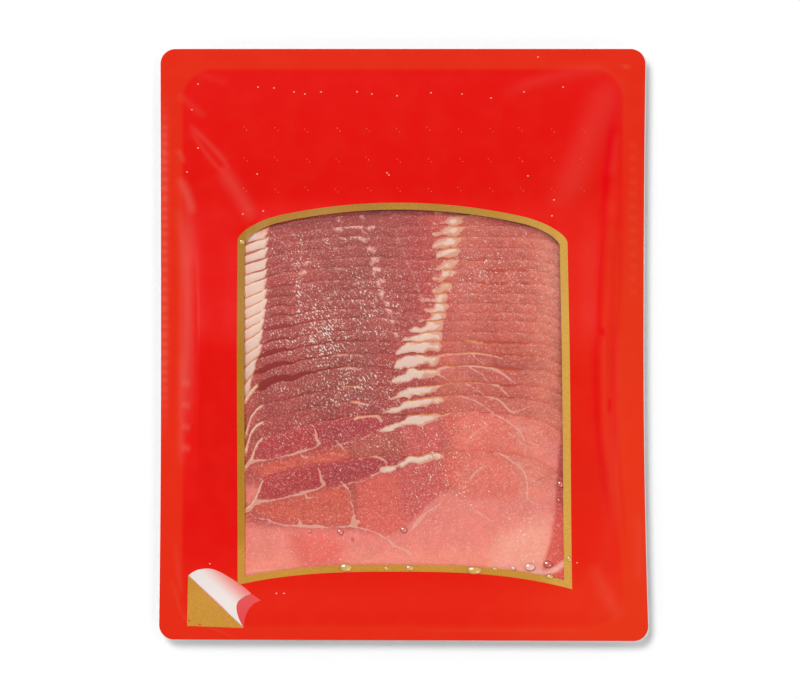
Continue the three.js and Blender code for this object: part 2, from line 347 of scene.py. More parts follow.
def make_piece(name, skin, look):
    """A mesh in the pack's frame: points in millimetres, faces, and named values at the points."""
    points, faces, fields = skin
    mesh = bpy.data.meshes.new(name)
    mesh.from_pydata((np.asarray(points) * MM).tolist(), [], [list(face) for face in faces])
    for key, values in fields.items():
        if values.ndim == 2:
            colours = np.column_stack([values, np.ones(len(values))]).astype(np.float32)
            mesh.attributes.new(key, "FLOAT_COLOR", "POINT").data.foreach_set(
                "color", colours.ravel()
            )
        else:
            mesh.attributes.new(key, "FLOAT", "POINT").data.foreach_set(
                "value", values.astype(np.float32)
            )
    mesh.shade_smooth()
    mesh.set_sharp_from_angle(angle=SHARP_ANGLE)
    mesh.materials.append(look)
    piece = placed(name, mesh)
    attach(piece, "root")
    return piece


def only_used(points, faces, fields):
    """Drops the points that no face uses."""
    used, places = np.unique(faces, return_inverse=True)
    return points[used], places.reshape(faces.shape), {k: v[used] for k, v in fields.items()}


def closed_skin(points, faces, thickness, fields=None):
    """A closed sheet: a skin, the same skin lower down, and a wall round every open edge."""
    points, faces, fields = only_used(points, faces, fields or {})
    return joined_skins(points, points - [0, 0, thickness], faces, fields)


def joined_skins(upper, lower, faces, fields):
    """A closed sheet from the points of its upper and its lower skin, which share their faces."""
    count = len(upper)
    starts, ends = faces.ravel(), np.roll(faces, -1, axis=1).ravel()
    is_open = ~np.isin(starts * count + ends, ends * count + starts)
    a, b = starts[is_open], ends[is_open]
    walls = np.column_stack([b, a, a + count, b + count])
    all_faces = np.vstack([faces, faces[:, ::-1] + count, walls])
    doubled = {key: np.concatenate([values, values]) for key, values in fields.items()}
    return np.vstack([upper, lower]), all_faces, doubled


def grid_faces(rows, columns):
    """The faces of a grid whose rows run towards -Y and whose columns run towards +X."""
    first = (np.arange(rows - 1)[:, None] * columns + np.arange(columns - 1)).ravel()
    return np.column_stack([first, first + columns, first + columns + 1, first + 1])


# ---- The pack's outline as a grid ------------------------------------------------------
def outline_rows(step):
    """Rows across the pack: their height along Y, and how far the corners cut them short."""
    angles = np.radians(np.linspace(90, 6, 12))
    corner_y = HALF_LENGTH - CORNER_RADIUS * (1 - np.sin(angles))
    corner_inset = CORNER_RADIUS * (1 - np.cos(angles))
    straight = HALF_LENGTH - CORNER_RADIUS
    middle = np.linspace(straight, -straight, int(2 * straight / step) + 1)
    y = np.concatenate([corner_y, middle, -corner_y[::-1]])
    inset = np.concatenate([corner_inset, np.zeros(len(middle)), corner_inset[::-1]])
    return y, inset


def pack_grid(step, rim_right=0.0, rim_foot=0.0):
    """Points all over the pack's outline, as a grid, and its faces."""
    y, inset = outline_rows(step)
    share = y / HALF_LENGTH
    left = -LEFT_EDGE - np.where(share > 0, LEFT_FLARE_HEAD, LEFT_FLARE_FOOT) * share**2 + inset
    flare = np.where(share > 0, RIGHT_FLARE_HEAD, RIGHT_FLARE_FOOT)
    right = RIGHT_EDGE + flare * share**2 - inset + rim_right
    across = np.linspace(0, 1, int(2 * LEFT_EDGE / step) + 1)
    x = left[:, None] + (right - left)[:, None] * across
    skew = np.where(y < 0, (FOOT_SKEW + rim_foot) * share**2, 0)[:, None]
    leftwards = (RIGHT_EDGE - x) / (2 * RIGHT_EDGE)
    lowered = np.where(y < 0, rim_foot * share**2, 0)[:, None]
    rows_y = y[:, None] + skew * leftwards - lowered
    return x.ravel(), rows_y.ravel(), grid_faces(len(y), len(across))


# ---- The window and its frame ----------------------------------------------------------
HEAD_ARCH = {"x": -1.9, "radius": 184.0}
FOOT_CURVE = {"x": -2.5, "reach": 48.8, "fall": 3.63, "power": 2.7}
FRAME_OUTER = {
    "left": -54.85, "right_head": 54.0, "right_foot": 55.55, "head": 47.0, "foot": -74.8,
    "corner": 15.0, "corner_fall": 5.0,
}
FRAME_INNER = {
    "left": -52.45, "right_head": 51.45, "right_foot": 52.95, "head": 44.7, "foot": -72.5,
    "corner": 13.0, "corner_fall": 4.4,
}

# How many points an outline has round a corner, over the arch, along the foot and up a side.
TURN_POINTS, ARCH_POINTS, FOOT_POINTS, SIDE_POINTS = 26, 140, 161, 170


def frame_head(shape, x):
    """The height of an outline's head: an arch that falls away over each corner."""
    radius = HEAD_ARCH["radius"] + shape["head"] - FRAME_OUTER["head"]
    from_side = np.minimum(x - shape["left"], shape["right_head"] - x)
    over_corner = 1 - clamp(from_side / shape["corner"])
    fall = shape["corner_fall"] * (1 - np.sqrt(1 - over_corner**2))
    return shape["head"] - (x - HEAD_ARCH["x"]) ** 2 / (2 * radius) - fall


def frame_ring(shape):
    """One outline of the frame: straight sides, a bowed foot and an arched head."""
    left, right = shape["left"], shape["right_head"]

    def side(start, end, count):
        return mix(np.array(start), np.array(end), np.arange(count)[:, None] / count)

    turn = shape["corner"] * (1 - np.cos(np.linspace(0, math.pi / 2, TURN_POINTS)))
    ends = right - shape["corner"], left + shape["corner"]
    across = np.linspace(*ends, ARCH_POINTS)[1:-1]
    head_x = np.concatenate([right - turn, across, left + turn[::-1]])
    head = np.column_stack([head_x, frame_head(shape, head_x)])
    foot_x = np.linspace(left, shape["right_foot"], FOOT_POINTS)
    away = np.abs(foot_x - FOOT_CURVE["x"]) / FOOT_CURVE["reach"]
    foot_y = shape["foot"] - FOOT_CURVE["fall"] * away ** FOOT_CURVE["power"]
    foot = np.column_stack([foot_x, foot_y])
    right_side = side(foot[-1], head[0], SIDE_POINTS)
    left_side = side(head[-1], foot[0], SIDE_POINTS)
    return np.vstack([foot[:-1], right_side, head[:-1], left_side])


def on_film(x, y, lift):
    return np.column_stack([x, y, film_height(x, y) + lift])


# ---- Materials -------------------------------------------------------------------------
class Look:
    """A material whose nodes are added one by one."""

    def __init__(self, name, **sockets):
        self.material = bpy.data.materials.new(name)
        self.material.use_nodes = True
        self.nodes = self.material.node_tree.nodes
        self.links = self.material.node_tree.links
        self.shader = self.nodes["Principled BSDF"]
        self.set(self.shader, sockets)

    def set(self, node, sockets):
        for key, value in sockets.items():
            socket = node.inputs[key if isinstance(key, int) else key.replace("_", " ")]
            if isinstance(value, bpy.types.NodeSocket):
                self.links.new(value, socket)
            else:
                socket.default_value = value

    def add(self, kind, settings=(), **sockets):
        node = self.nodes.new("ShaderNode" + kind)
        for key, value in dict(settings).items():
            setattr(node, key, value)
        self.set(node, sockets)
        return node

    def field(self, name):
        return self.add("Attribute", {"attribute_name": name}).outputs["Fac"]

    def tone(self, name="tone"):
        return self.add("Attribute", {"attribute_name": name}).outputs["Color"]

    def place(self, turn=0.0, stretch=(1, 1, 1)):
        """The point's own place, in metres, turned and stretched."""
        coordinates = self.add("TexCoord").outputs["Object"]
        turned = self.add("Mapping", Vector=coordinates, Rotation=(0, 0, turn)).outputs[0]
        return self.add("Mapping", Vector=turned, Scale=stretch).outputs[0]

    def noise(self, size, detail=2.0, place=None, roughness=0.5):
        """Noise from 0 to 1 with lumps of that many millimetres."""
        sockets = {"Scale": 1 / (size * MM), "Detail": detail, "Roughness": roughness}
        if place is not None:
            sockets["Vector"] = place
        else:
            sockets["Vector"] = self.add("TexCoord").outputs["Object"]
        return self.add("TexNoise", **sockets).outputs["Fac"]

    def math(self, operation, a, b=0.0):
        node = self.add("Math", {"operation": operation})
        self.set(node, {0: a, 1: b})
        return node.outputs[0]

    def plus(self, a, b, share=1.0):
        """a and a share of b."""
        return self.math("ADD", a, b if share == 1.0 else self.math("MULTIPLY", b, share))

    def step(self, value, low, high, to_low=0.0, to_high=1.0):
        node = self.add("MapRange", {"interpolation_type": "SMOOTHSTEP"})
        self.set(node, {0: value, 1: low, 2: high, 3: to_low, 4: to_high})
        return node.outputs[0]

    def blend(self, factor, a, b, mode="MIX"):
        node = self.add("Mix", {"data_type": "RGBA", "blend_type": mode})
        self.set(node, {0: factor, 6: a, 7: b})
        return node.outputs[2]

    def bump(self, height, strength, distance):
        node = self.add("Bump", Height=height, Strength=strength, Distance=distance * MM)
        self.set(self.shader, {"Normal": node.outputs[0]})


def rgba(colour):
    return (*[float(part) for part in colour], 1.0)


def film_look():
    look = Look("printed_film", Roughness=0.34, Specular_IOR_Level=0.06)
    grain = look.noise(0.55, 3)
    # Faint painted sheen in soft random patches.
    sheen_patches = look.noise(7.0, 2)
    lighter = look.blend(0.05, look.tone(), rgba(paint(255, 120, 90)))
    colour = look.blend(look.step(sheen_patches, 0.35, 0.75, 0.0, 0.35), look.tone(), lighter)
    look.set(look.shader, {"Base Color": colour})
    look.bump(grain, 0.25, 0.02)
    return look.material


def gold_look():
    look = Look("gold_print", Roughness=0.34, Specular_IOR_Level=0.12)
    grain = look.noise(0.35, 3)
    darker = look.blend(1.0, look.tone(), rgba((0.80, 0.78, 0.72)), "MULTIPLY")
    colour = look.blend(look.step(grain, 0.3, 0.7), darker, look.tone())
    look.set(look.shader, {"Base Color": colour})
    look.bump(grain, 0.3, 0.02)
    return look.material


def ink_look():
    look = Look("printed_mark", Roughness=0.35, Specular_IOR_Level=0.4)
    grain = look.noise(0.4, 2)
    darker = look.blend(1.0, look.tone(), rgba((0.93, 0.93, 0.93)), "MULTIPLY")
    look.set(look.shader, {"Base Color": look.blend(grain, darker, look.tone())})
    return look.material


def window_look():
    """Clear film: it shows what lies under it, and shines a little."""
    look = Look("clear_film", Roughness=0.2, Alpha=0.03, Specular_IOR_Level=0.2)
    look.set(look.shader, {"Base Color": (0.2, 0.2, 0.2, 1)})
    look.bump(look.noise(1.4, 3), 0.15, 0.05)
    return look.material


def tray_look():
    look = Look("tray_plastic", Roughness=0.32, Specular_IOR_Level=0.5)
    cloud = look.noise(9.0, 3)
    colour = look.blend(cloud, rgba(paint(222, 224, 226)), rgba(paint(236, 236, 236)))
    look.set(look.shader, {"Base Color": colour, "Subsurface Weight": 0.1})
    look.shader.inputs["Subsurface Scale"].default_value = 0.5 * MM
    look.bump(look.noise(1.2, 3), 0.2, 0.03)
    return look.material


def drop_look():
    look = Look("water_drop", Roughness=0.12, Specular_IOR_Level=0.2)
    cloud = look.noise(1.5, 2)
    lighter = look.blend(0.06, look.tone(), (1, 1, 1, 1))
    look.set(look.shader, {"Base Color": look.blend(cloud, look.tone(), lighter)})
    return look.material


FAT = paint(243, 208, 191)
FAT_PINK = paint(232, 164, 138)
VEIN_PINK = paint(242, 176, 160)
RIM_ORANGE = paint(214, 134, 72)
RIM_BROWN = (0.78, 0.40, 0.19)
CRESCENT = paint(146, 34, 30)
RIND_BROWN = paint(178, 84, 60)
GLINT = paint(255, 240, 226)


def ham_look():
    """Lean meat in the colours of its muscles, with fat, veins, browned rims, painted glints and painted
    shade and light.
    """
    look = Look("sliced_ham", Roughness=0.45, Specular_IOR_Level=0.2)
    wobble = look.math("SUBTRACT", look.noise(1.3, 3, roughness=0.6), 0.5)
    fine = look.noise(0.68, 1.5, roughness=0.65)
    dots = look.plus(fine, look.field("wet"), 0.06)
    fibre = look.noise(2.2, 3, look.place(math.radians(-6), (1, 1.6, 1)), 0.6)

    # Lean meat, with its fibres and a finer grain.
    grained = look.blend(look.field("calm"), rgba((0.90, 0.70, 0.72)), rgba((0.98, 0.84, 0.84)))
    shade = look.blend(1.0, look.tone(), grained, "MULTIPLY")
    pale = look.blend(0.47, look.tone(), rgba(paint(250, 196, 180)))
    lean = look.blend(look.step(fibre, 0.28, 0.62), shade, look.tone())
    lean = look.blend(look.step(fine, 0.48, 0.25, 0.0, 0.9), lean, shade)
    lean = look.blend(look.step(dots, 0.57, 0.74), lean, pale)
    streaks = look.noise(0.62, 1, look.place(math.radians(50), (1, 2.4, 1)))
    lively = look.math("SUBTRACT", 0.62, look.math("MULTIPLY", look.field("calm"), 0.4))
    streak_share = look.math("MULTIPLY", look.step(streaks, 0.58, 0.72), lively)
    lean = look.blend(streak_share, lean, look.blend(0.75, look.tone(), rgba(paint(248, 186, 170))))

    # Fat, whose border the wobble roughens.
    fat_edge = look.plus(look.field("fat"), wobble, 1.5)
    fat_share = look.step(fat_edge, -0.32, 0.16)
    mottled = look.math("ADD", look.math("MULTIPLY", fibre, 1.2), fine)
    mottled = look.plus(mottled, look.field("rosy"))
    inner = look.step(look.math("SUBTRACT", fat_edge, mottled), -1.15, -0.3)
    fat = look.blend(inner, rgba(FAT_PINK), rgba(FAT))
    colour = look.blend(fat_share, lean, fat)

    # Soft pale marks, and veins of thin fat.
    mark_share = look.math("MULTIPLY", look.field("pale"), look.step(fine, 0.3, 0.6, 0.25, 1.0))
    colour = look.blend(mark_share, colour, rgba(VEIN_PINK))
    vein_edge = look.plus(look.field("vein"), wobble, 0.8)
    vein_share = look.step(vein_edge, -0.16, 0.16, 0.0, 0.88)
    vein = look.blend(look.step(vein_edge, 0.0, 0.5), rgba(VEIN_PINK), fat)
    colour = look.blend(vein_share, colour, vein)

    # The dark band under a head edge, and the browned rim on the edge itself.
    dark_edge = look.plus(look.field("dark"), wobble, 0.5)
    dark_share = look.step(dark_edge, -0.15, 0.25, 0.0, 0.95)
    on_fat = look.step(look.math("MAXIMUM", fat_edge, vein_edge), -0.6, -0.1)
    colour = look.blend(dark_share, colour, look.blend(on_fat, rgba(CRESCENT), rgba(RIND_BROWN)))
    browned = look.blend(1.0, look.tone(), rgba(RIM_BROWN), "MULTIPLY")
    rim_colour = look.blend(on_fat, browned, rgba(RIM_ORANGE))
    rim_edge = look.math("SUBTRACT", look.field("rim"), look.field("edge"))
    rim_edge = look.plus(rim_edge, wobble, 0.4)
    bare = look.math("SUBTRACT", 0.88, look.math("MULTIPLY", dark_share, on_fat))
    bare = look.math("MAXIMUM", bare, 0.1)
    rim_share = look.math("MULTIPLY", look.step(rim_edge, -0.12, 0.12), bare)
    colour = look.blend(rim_share, colour, rim_colour)

    # Painted glints: short slanting highlights where the film touches wet meat.
    strokes = look.noise(0.88, 1, look.place(math.radians(50), (1, 1.9, 1)))
    clumps = look.math("MULTIPLY", look.math("SUBTRACT", look.noise(3.0, 2), 0.5), 0.34)
    glint = look.plus(strokes, look.field("wet"), 0.22)
    glint_share = look.step(look.plus(glint, clumps), 0.77, 0.84)
    glint_share = look.math("MULTIPLY", glint_share, look.math("SUBTRACT", 0.86, dark_share))
    colour = look.blend(glint_share, colour, rgba(GLINT))

    # The window border's painted shade and light, over all the colours.
    colour = look.blend(1.0, colour, look.tone("shade"), "MULTIPLY")
    look.set(look.shader, {"Base Color": colour, "Subsurface Weight": 0.05})
    look.shader.inputs["Subsurface Scale"].default_value = 0.5 * MM
    look.bump(look.plus(fine, glint_share, 0.8), 0.25, 0.05)
    return look.material


# ---- The film --------------------------------------------------------------------------
FILM_RED = paint(227, 18, 13)
# Lines of painted shade and sheen along the right wall, each with its half width and how orange or deep the
# red is there.
WALL_LINES = [
    ([(70.4, 88), (66.4, 48), (63.8, 5), (63.1, -3.3), (63.8, -27.4), (66.4, -45), (70.7, -71)],
     1.0, -0.010),
    ([(73.3, 62), (72, 42), (71.2, 19.5), (70.5, 7.3), (69.7, -3.3), (70.1, -27.4), (72, -53.5),
      (73.4, -76)], 0.7, -0.012),
    ([(70.2, 66), (68.6, 42), (67.4, 19.5), (66.6, -3.3), (67.1, -27.4), (69.1, -48), (72.0, -76)],
     1.5, 0.008),
    ([(67.7, -17.3), (67.7, -22.6)], 0.5, -0.02),
    ([(65.4, 6.0), (65.7, 2.6)], 0.6, -0.02),
]


def wall_shade_and_sheen(x, y):
    """How much the painted shade and sheen of the lines along the right wall change the red."""
    haze = np.zeros(x.shape)
    for points, width, strength in WALL_LINES:
        near, distance, along = beside_line(x, y, flowing(points), LINE_SPREAD * width)
        fading = clamp(np.minimum(along, 1 - along) / 0.15)
        haze[near] += strength * fading * np.exp(-0.5 * (distance / width) ** 2)
    return haze


def wall_light(x, y):
    """Evens out how the steep right wall takes the light, and the slope down to the foot."""
    step = 0.3
    fall = (film_height(x - step, y) - film_height(x + step, y)) / (2 * step)
    faces_right = ease(fall / 1.4) * ease((x - 58) / 4)
    to_foot = ease((10 - y) / 50)
    return 1 + 0.34 * faces_right + to_foot * (0.02 + 0.02 * ease((x - 20) / 40))


def film_tone(x, y):
    """The print's red: a little more orange on the flange, at the foot and to the right, with painted
    sheen, shade and light.
    """
    on_flange = 1 - ease(inside_pocket(drawn_in(x, y), y) / 1.5)
    to_foot = ease((-66 - y) / 18)
    to_right = ease((x - 20) / 50) * ease((75 - y) / 60)
    haze = 0.017 * on_flange + 0.010 * to_foot * (1 - on_flange) + 0.010 * to_right
    haze = haze + wall_shade_and_sheen(x, y)
    sheen = fold_fields(x, y)[1]
    # A painted sheen along the film's left edge, broken up by the seal's knurls.
    edge_band = np.exp(-0.5 * ((x + LEFT_EDGE - 1.1) / 0.8) ** 2)
    knurls = 0.75 + 0.25 * np.sign(np.sin(y * 2.1 + 2 * soft_noise(x, y, 9, 21)))
    sheen = sheen + 0.055 * edge_band * knurls * ease((84 - y) / 20) * ease((y + 35) / 30)
    tone = (
        FILM_RED
        + haze[:, None] * np.array([0, 1, 0.16])
        + sheen[:, None] * np.array([0.15, 1, 0.75])
    )
    return np.maximum(tone * wall_light(x, y)[:, None], 0.001)


def build_film(film, clear):
    x, y, faces = pack_grid(FILM_STEP)
    points = on_film(x, y, 0)
    centre_x, centre_y = x[faces].mean(1), y[faces].mean(1)
    seam = (frame_ring(FRAME_OUTER) + frame_ring(FRAME_INNER)) / 2
    in_window = inside(centre_x, centre_y, seam)

    printed_skin = closed_skin(points, faces[~in_window], FILM_SHEET, {"tone": film_tone(x, y)})
    printed = make_piece("film_print", printed_skin, film)
    window = make_piece("film_window", closed_skin(points, faces[in_window], FILM_SHEET), clear)
    for piece in (printed, window):
        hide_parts("front_film")


# The gold's colours across the frame, growing lighter towards the right: painted light.
GOLD_PLACES = [-55, -20, 32, 54]
GOLD_COLOURS = [paint(176, 126, 40), paint(181, 132, 50), paint(191, 141, 56), paint(216, 165, 76)]
GOLD_FOOT = paint(210, 150, 60)


def gold_tone(x, y):
    tone = read_table(x, GOLD_PLACES, GOLD_COLOURS)
    at_right = ease((x - 42) / 8)
    tone = mix(tone, GOLD_FOOT, (ease((-62 - y) / 8) * (1 - 0.8 * at_right))[:, None])
    lower_left = ease((10 - y) / 30) * ease((-40 - x) / 10) * ease((y + 70) / 10)
    lower_right = at_right * ease((20 - y) / 30)
    # Painted light at the lower left and the lower right, with a little random unevenness.
    lit = 1 + 0.05 * soft_noise(x, y, 12, 5) + 0.16 * lower_left + 0.1 * lower_right
    return tone * lit[:, None]


def ruled_patch(first, second, rows, lift):
    """A printed patch between two lines of as many points, laid on the film."""
    shares = np.linspace(0, 1, rows)[:, None, None]
    places = mix(np.array(first), np.array(second), shares).reshape(-1, 2)
    faces = grid_faces(rows, len(first))
    points = on_film(places[:, 0], places[:, 1], lift)
    a, b, c = (points[faces[0][i]] for i in (0, 1, 2))
    if np.cross(b - a, c - b)[2] < 0:
        faces = faces[:, ::-1]
    return points, faces


def build_frame(gold):
    outer, inner = frame_ring(FRAME_OUTER), frame_ring(FRAME_INNER)
    points, faces = ruled_patch(closed(outer), closed(inner), 5, INK)
    columns = len(outer) + 1
    merged = np.arange(len(points))
    merged[columns - 1::columns] = merged[::columns]
    skin = closed_skin(points, merged[faces], INK, {"tone": gold_tone(points[:, 0], points[:, 1])})
    make_piece("gold_frame", skin, gold)


# ---- The peel mark ---------------------------------------------------------------------
PEEL_HEAD, PEEL_CORNER, PEEL_FOOT = (-71.2, -76.1), (-71.5, -92.7), (-52.9, -93.4)
PEEL_TIP = (-47.2, -84.3)
PEEL_TURN = (-50.1, -82.2)
PEEL_BACK = [
    PEEL_HEAD, (-68.8, -74.5), (-66.2, -73.9), (-63.6, -73.9), (-60.9, -74.8),
    (-58.4, -76.2), (-55.6, -77.9), (-52.9, -79.8), PEEL_TURN,
]
PEEL_UNDER = [
    PEEL_TURN, (-52.1, -82.8), (-54.0, -83.9), (-55.0, -85.4), (-55.2, -87.2), (-54.5, -90.0),
    PEEL_FOOT,
]
PEEL_FAR = [PEEL_TIP, (-49.3, -85.3), (-51.0, -87.0), (-52.1, -89.2), (-52.6, -91.3), PEEL_FOOT]
FLAP_STOPS = [0.0, 0.35, 3.8, 5.8, 7.8, 10.0]
FLAP_COLOURS = [
    paint(214, 120, 140), paint(241, 230, 224), paint(241, 229, 223),
    paint(244, 203, 196), paint(243, 160, 154), paint(240, 122, 118),
]
TIP_RED = paint(233, 74, 76)


def resampled(line, count):
    """The same line with evenly spaced points."""
    lengths = np.concatenate([[0], np.cumsum(np.hypot(*np.diff(line, axis=0).T))])
    places = np.linspace(0, lengths[-1], count)
    return read_table(places, lengths, line)


def flap_tone(x, y):
    """The flap's colours, by how far a place is from the fold."""
    fold = np.array(PEEL_FOOT) - PEEL_HEAD
    away = ((x - PEEL_HEAD[0]) * -fold[1] + (y - PEEL_HEAD[1]) * fold[0]) / np.hypot(*fold)
    return read_table(away, FLAP_STOPS, FLAP_COLOURS)


def tip_tone(x, y):
    return np.tile(TIP_RED, (len(x), 1))


def build_peel_mark(gold, ink):
    count = 40
    fold = resampled(np.array([PEEL_HEAD, PEEL_FOOT]), count)
    below = resampled(np.array([PEEL_CORNER, PEEL_FOOT]), count)
    over = resampled(np.vstack([flowing(PEEL_BACK), flowing(PEEL_UNDER)[1:]]), count)
    under = resampled(flowing(PEEL_UNDER), count)
    far = resampled(flowing(PEEL_FAR), count)
    patches = [
        ("peel_mark_gold", fold, below, 14, gold, gold_tone),
        ("peel_mark_flap", fold, over, 18, ink, flap_tone),
        ("peel_mark_tip", under, far, 8, ink, tip_tone),
    ]
    for name, first, second, rows, look, tone in patches:
        points, faces = ruled_patch(first, second, rows, INK)
        skin = closed_skin(points, faces, INK, {"tone": tone(points[:, 0], points[:, 1])})
        make_piece(name, skin, look)


# ---- Drops and specks ------------------------------------------------------------------
def dome(x, y, half_x, half_y, height, rings, sides):
    """A closed low dome on the film: its points and faces."""
    angles = np.arange(sides) * 2 * math.pi / sides
    rise = np.radians(np.linspace(0, 76, rings))
    ring_x = (x + half_x * np.cos(rise)[:, None] * np.cos(angles)).ravel()
    ring_y = (y + half_y * np.cos(rise)[:, None] * np.sin(angles)).ravel()
    base = film_height(np.array([x]), np.array([y]))[0]
    ring_z = np.repeat(base + 0.02 + height * np.sin(rise), sides)
    points = np.vstack([
        np.column_stack([ring_x, ring_y, ring_z]),
        [[x, y, base + 0.02 + height], [x, y, base - 0.05]],
    ])
    top, bottom = len(points) - 2, len(points) - 1
    faces = []
    for i in range(sides):
        j = (i + 1) % sides
        for ring in range(rings - 1):
            a, b = ring * sides, (ring + 1) * sides
            faces.append((a + i, a + j, b + j, b + i))
        faces.append(((rings - 1) * sides + i, (rings - 1) * sides + j, top))
        faces.append((j, i, bottom))
    return points, faces


def drop_tone(across, along, colour):
    """A clear drop with its light painted on: a painted dark edge, painted light on the far side, and a
    painted highlight at each end.
    """
    radius = np.hypot(across, along)
    shine = 1 - 0.4 * ease((radius - 0.66) / 0.3) + 0.3 * clamp((across - along) / 1.4, -0.4, 1)
    tone = np.outer(shine, colour)
    for spot_x, spot_y, size in ((-0.40, 0.44, 0.32), (0.44, -0.40, 0.20)):
        away = np.hypot(across - spot_x, along - spot_y)
        tone = mix(tone, DROP_HIGHLIGHT, ease((size - away) / 0.12)[:, None])
    return tone


def build_domes(name, domes, look, clear=False):
    """Many domes joined in one piece. Each is x, y, half width, half height, rise, colour."""
    points, faces, tones = [], [], []
    count = 0
    for x, y, half_x, half_y, height, colour in domes:
        rings, sides = (7, 22) if clear else (4, 10)
        dome_points, dome_faces = dome(x, y, half_x, half_y, height, rings, sides)
        points.append(dome_points)
        faces += [tuple(place + count for place in face) for face in dome_faces]
        if clear:
            across, along = (dome_points[:, 0] - x) / half_x, (dome_points[:, 1] - y) / half_y
            tones.append(drop_tone(across, along, colour))
        else:
            tones.append(np.tile(colour, (len(dome_points), 1)))
        count += len(dome_points)
    skin = (np.vstack(points), faces, {"tone": np.vstack(tones)})
    make_piece(name, skin, look)


DROP_HIGHLIGHT = paint(255, 244, 236)
ON_GOLD = paint(216, 164, 72)
ON_PINK = paint(244, 176, 160)
ON_MEAT = paint(224, 108, 98)
ON_DARK = paint(206, 84, 76)
# Drops of water on the film: place, half width, half height, rise, colour.
DROPS = [
    (-19.1, -73.5, 2.2, 1.4, 0.6, ON_GOLD), (-5.7, -73.8, 0.75, 0.6, 0.3, ON_GOLD),
    (2.0, -73.6, 1.5, 0.9, 0.5, ON_GOLD), (23.3, -74.4, 2.6, 1.3, 0.6, ON_GOLD),
    (30.1, -73.9, 0.8, 0.6, 0.3, ON_GOLD), (36.1, -73.7, 0.75, 0.65, 0.3, ON_PINK),
    (41.6, -73.3, 1.8, 1.2, 0.5, ON_PINK), (47.6, -72.4, 1.5, 1.1, 0.5, ON_DARK),
    (48.3, -76.5, 1.15, 0.72, 0.4, ON_GOLD), (54.6, -70.6, 0.8, 1.0, 0.4, ON_GOLD),
    (-53.4, 34.0, 0.9, 0.8, 0.4, ON_GOLD), (51.6, -45.9, 1.0, 1.1, 0.4, ON_DARK),
    (51.2, -51.2, 0.6, 0.6, 0.3, ON_DARK), (0.0, -61.0, 1.1, 0.95, 0.4, ON_MEAT),
    (-31.0, -61.5, 0.6, 0.5, 0.25, ON_MEAT), (-20.9, -61.7, 1.0, 0.95, 0.35, ON_MEAT),
]
FIRST_SPECKS = [
    (-67.9, 86.1), (-48.1, 85.1), (-42.8, 84.8), (-36.2, 83.5), (-32.6, 82.8), (-27.3, 83.5),
    (-15.4, 83.5), (-10.5, 82.8), (-2.2, 82.2), (9.0, 83.2), (19.2, 82.8), (28.8, 81.5),
    (39.7, 83.5), (52.6, 85.1), (44.3, 95.0), (-69.9, 77.6), (-67.9, 65.0), (-71.5, 57.1),
    (-48.4, 56.4), (-5.5, 56.8), (-4.9, 56.1), (-53.1, 43.2), (-46.4, 44.2), (49.6, 47.9),
    (48.9, 42.6), (41.0, 55.8), (57.2, -71.9), (-64.0, -72.2), (-42.0, -82.0), (-39.5, -82.0),
]


def build_specks(drop):
    random = np.random.default_rng(11)
    # Tiny bubbles in the film, their pale colour a painted highlight.
    specks = [(x, y, 0.30, 0.24, 0.16, paint(248, 168, 148)) for x, y in FIRST_SPECKS]
    # The seal's embossed dots: a faint pair every centimetre.
    for row_y in np.arange(50.8, 80, 9.9):
        for x in np.arange(-51.6, 60, 10.1):
            jitter = random.uniform(-0.4, 0.4, 2)
            for shift in (0.0, 0.95):
                place = (x - shift + jitter[0], row_y + shift + jitter[1])
                if place[1] < 47 - (place[0] / 40) ** 2 * 6:
                    continue
                specks.append((*place, 0.2, 0.17, 0.09, paint(237, 74, 58)))
    build_domes("film_specks", specks, drop)
    build_domes("water_drops", DROPS, drop, clear=True)


# ---- The tray --------------------------------------------------------------------------
def build_tray(tray):
    x, y, faces = pack_grid(TRAY_STEP, TRAY_RIM, TRAY_RIM)
    points = np.column_stack([x, y, tray_height(x, y)])
    piece = make_piece("web_tray", closed_skin(points, faces, TRAY_SHEET), tray)
    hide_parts("back_web")


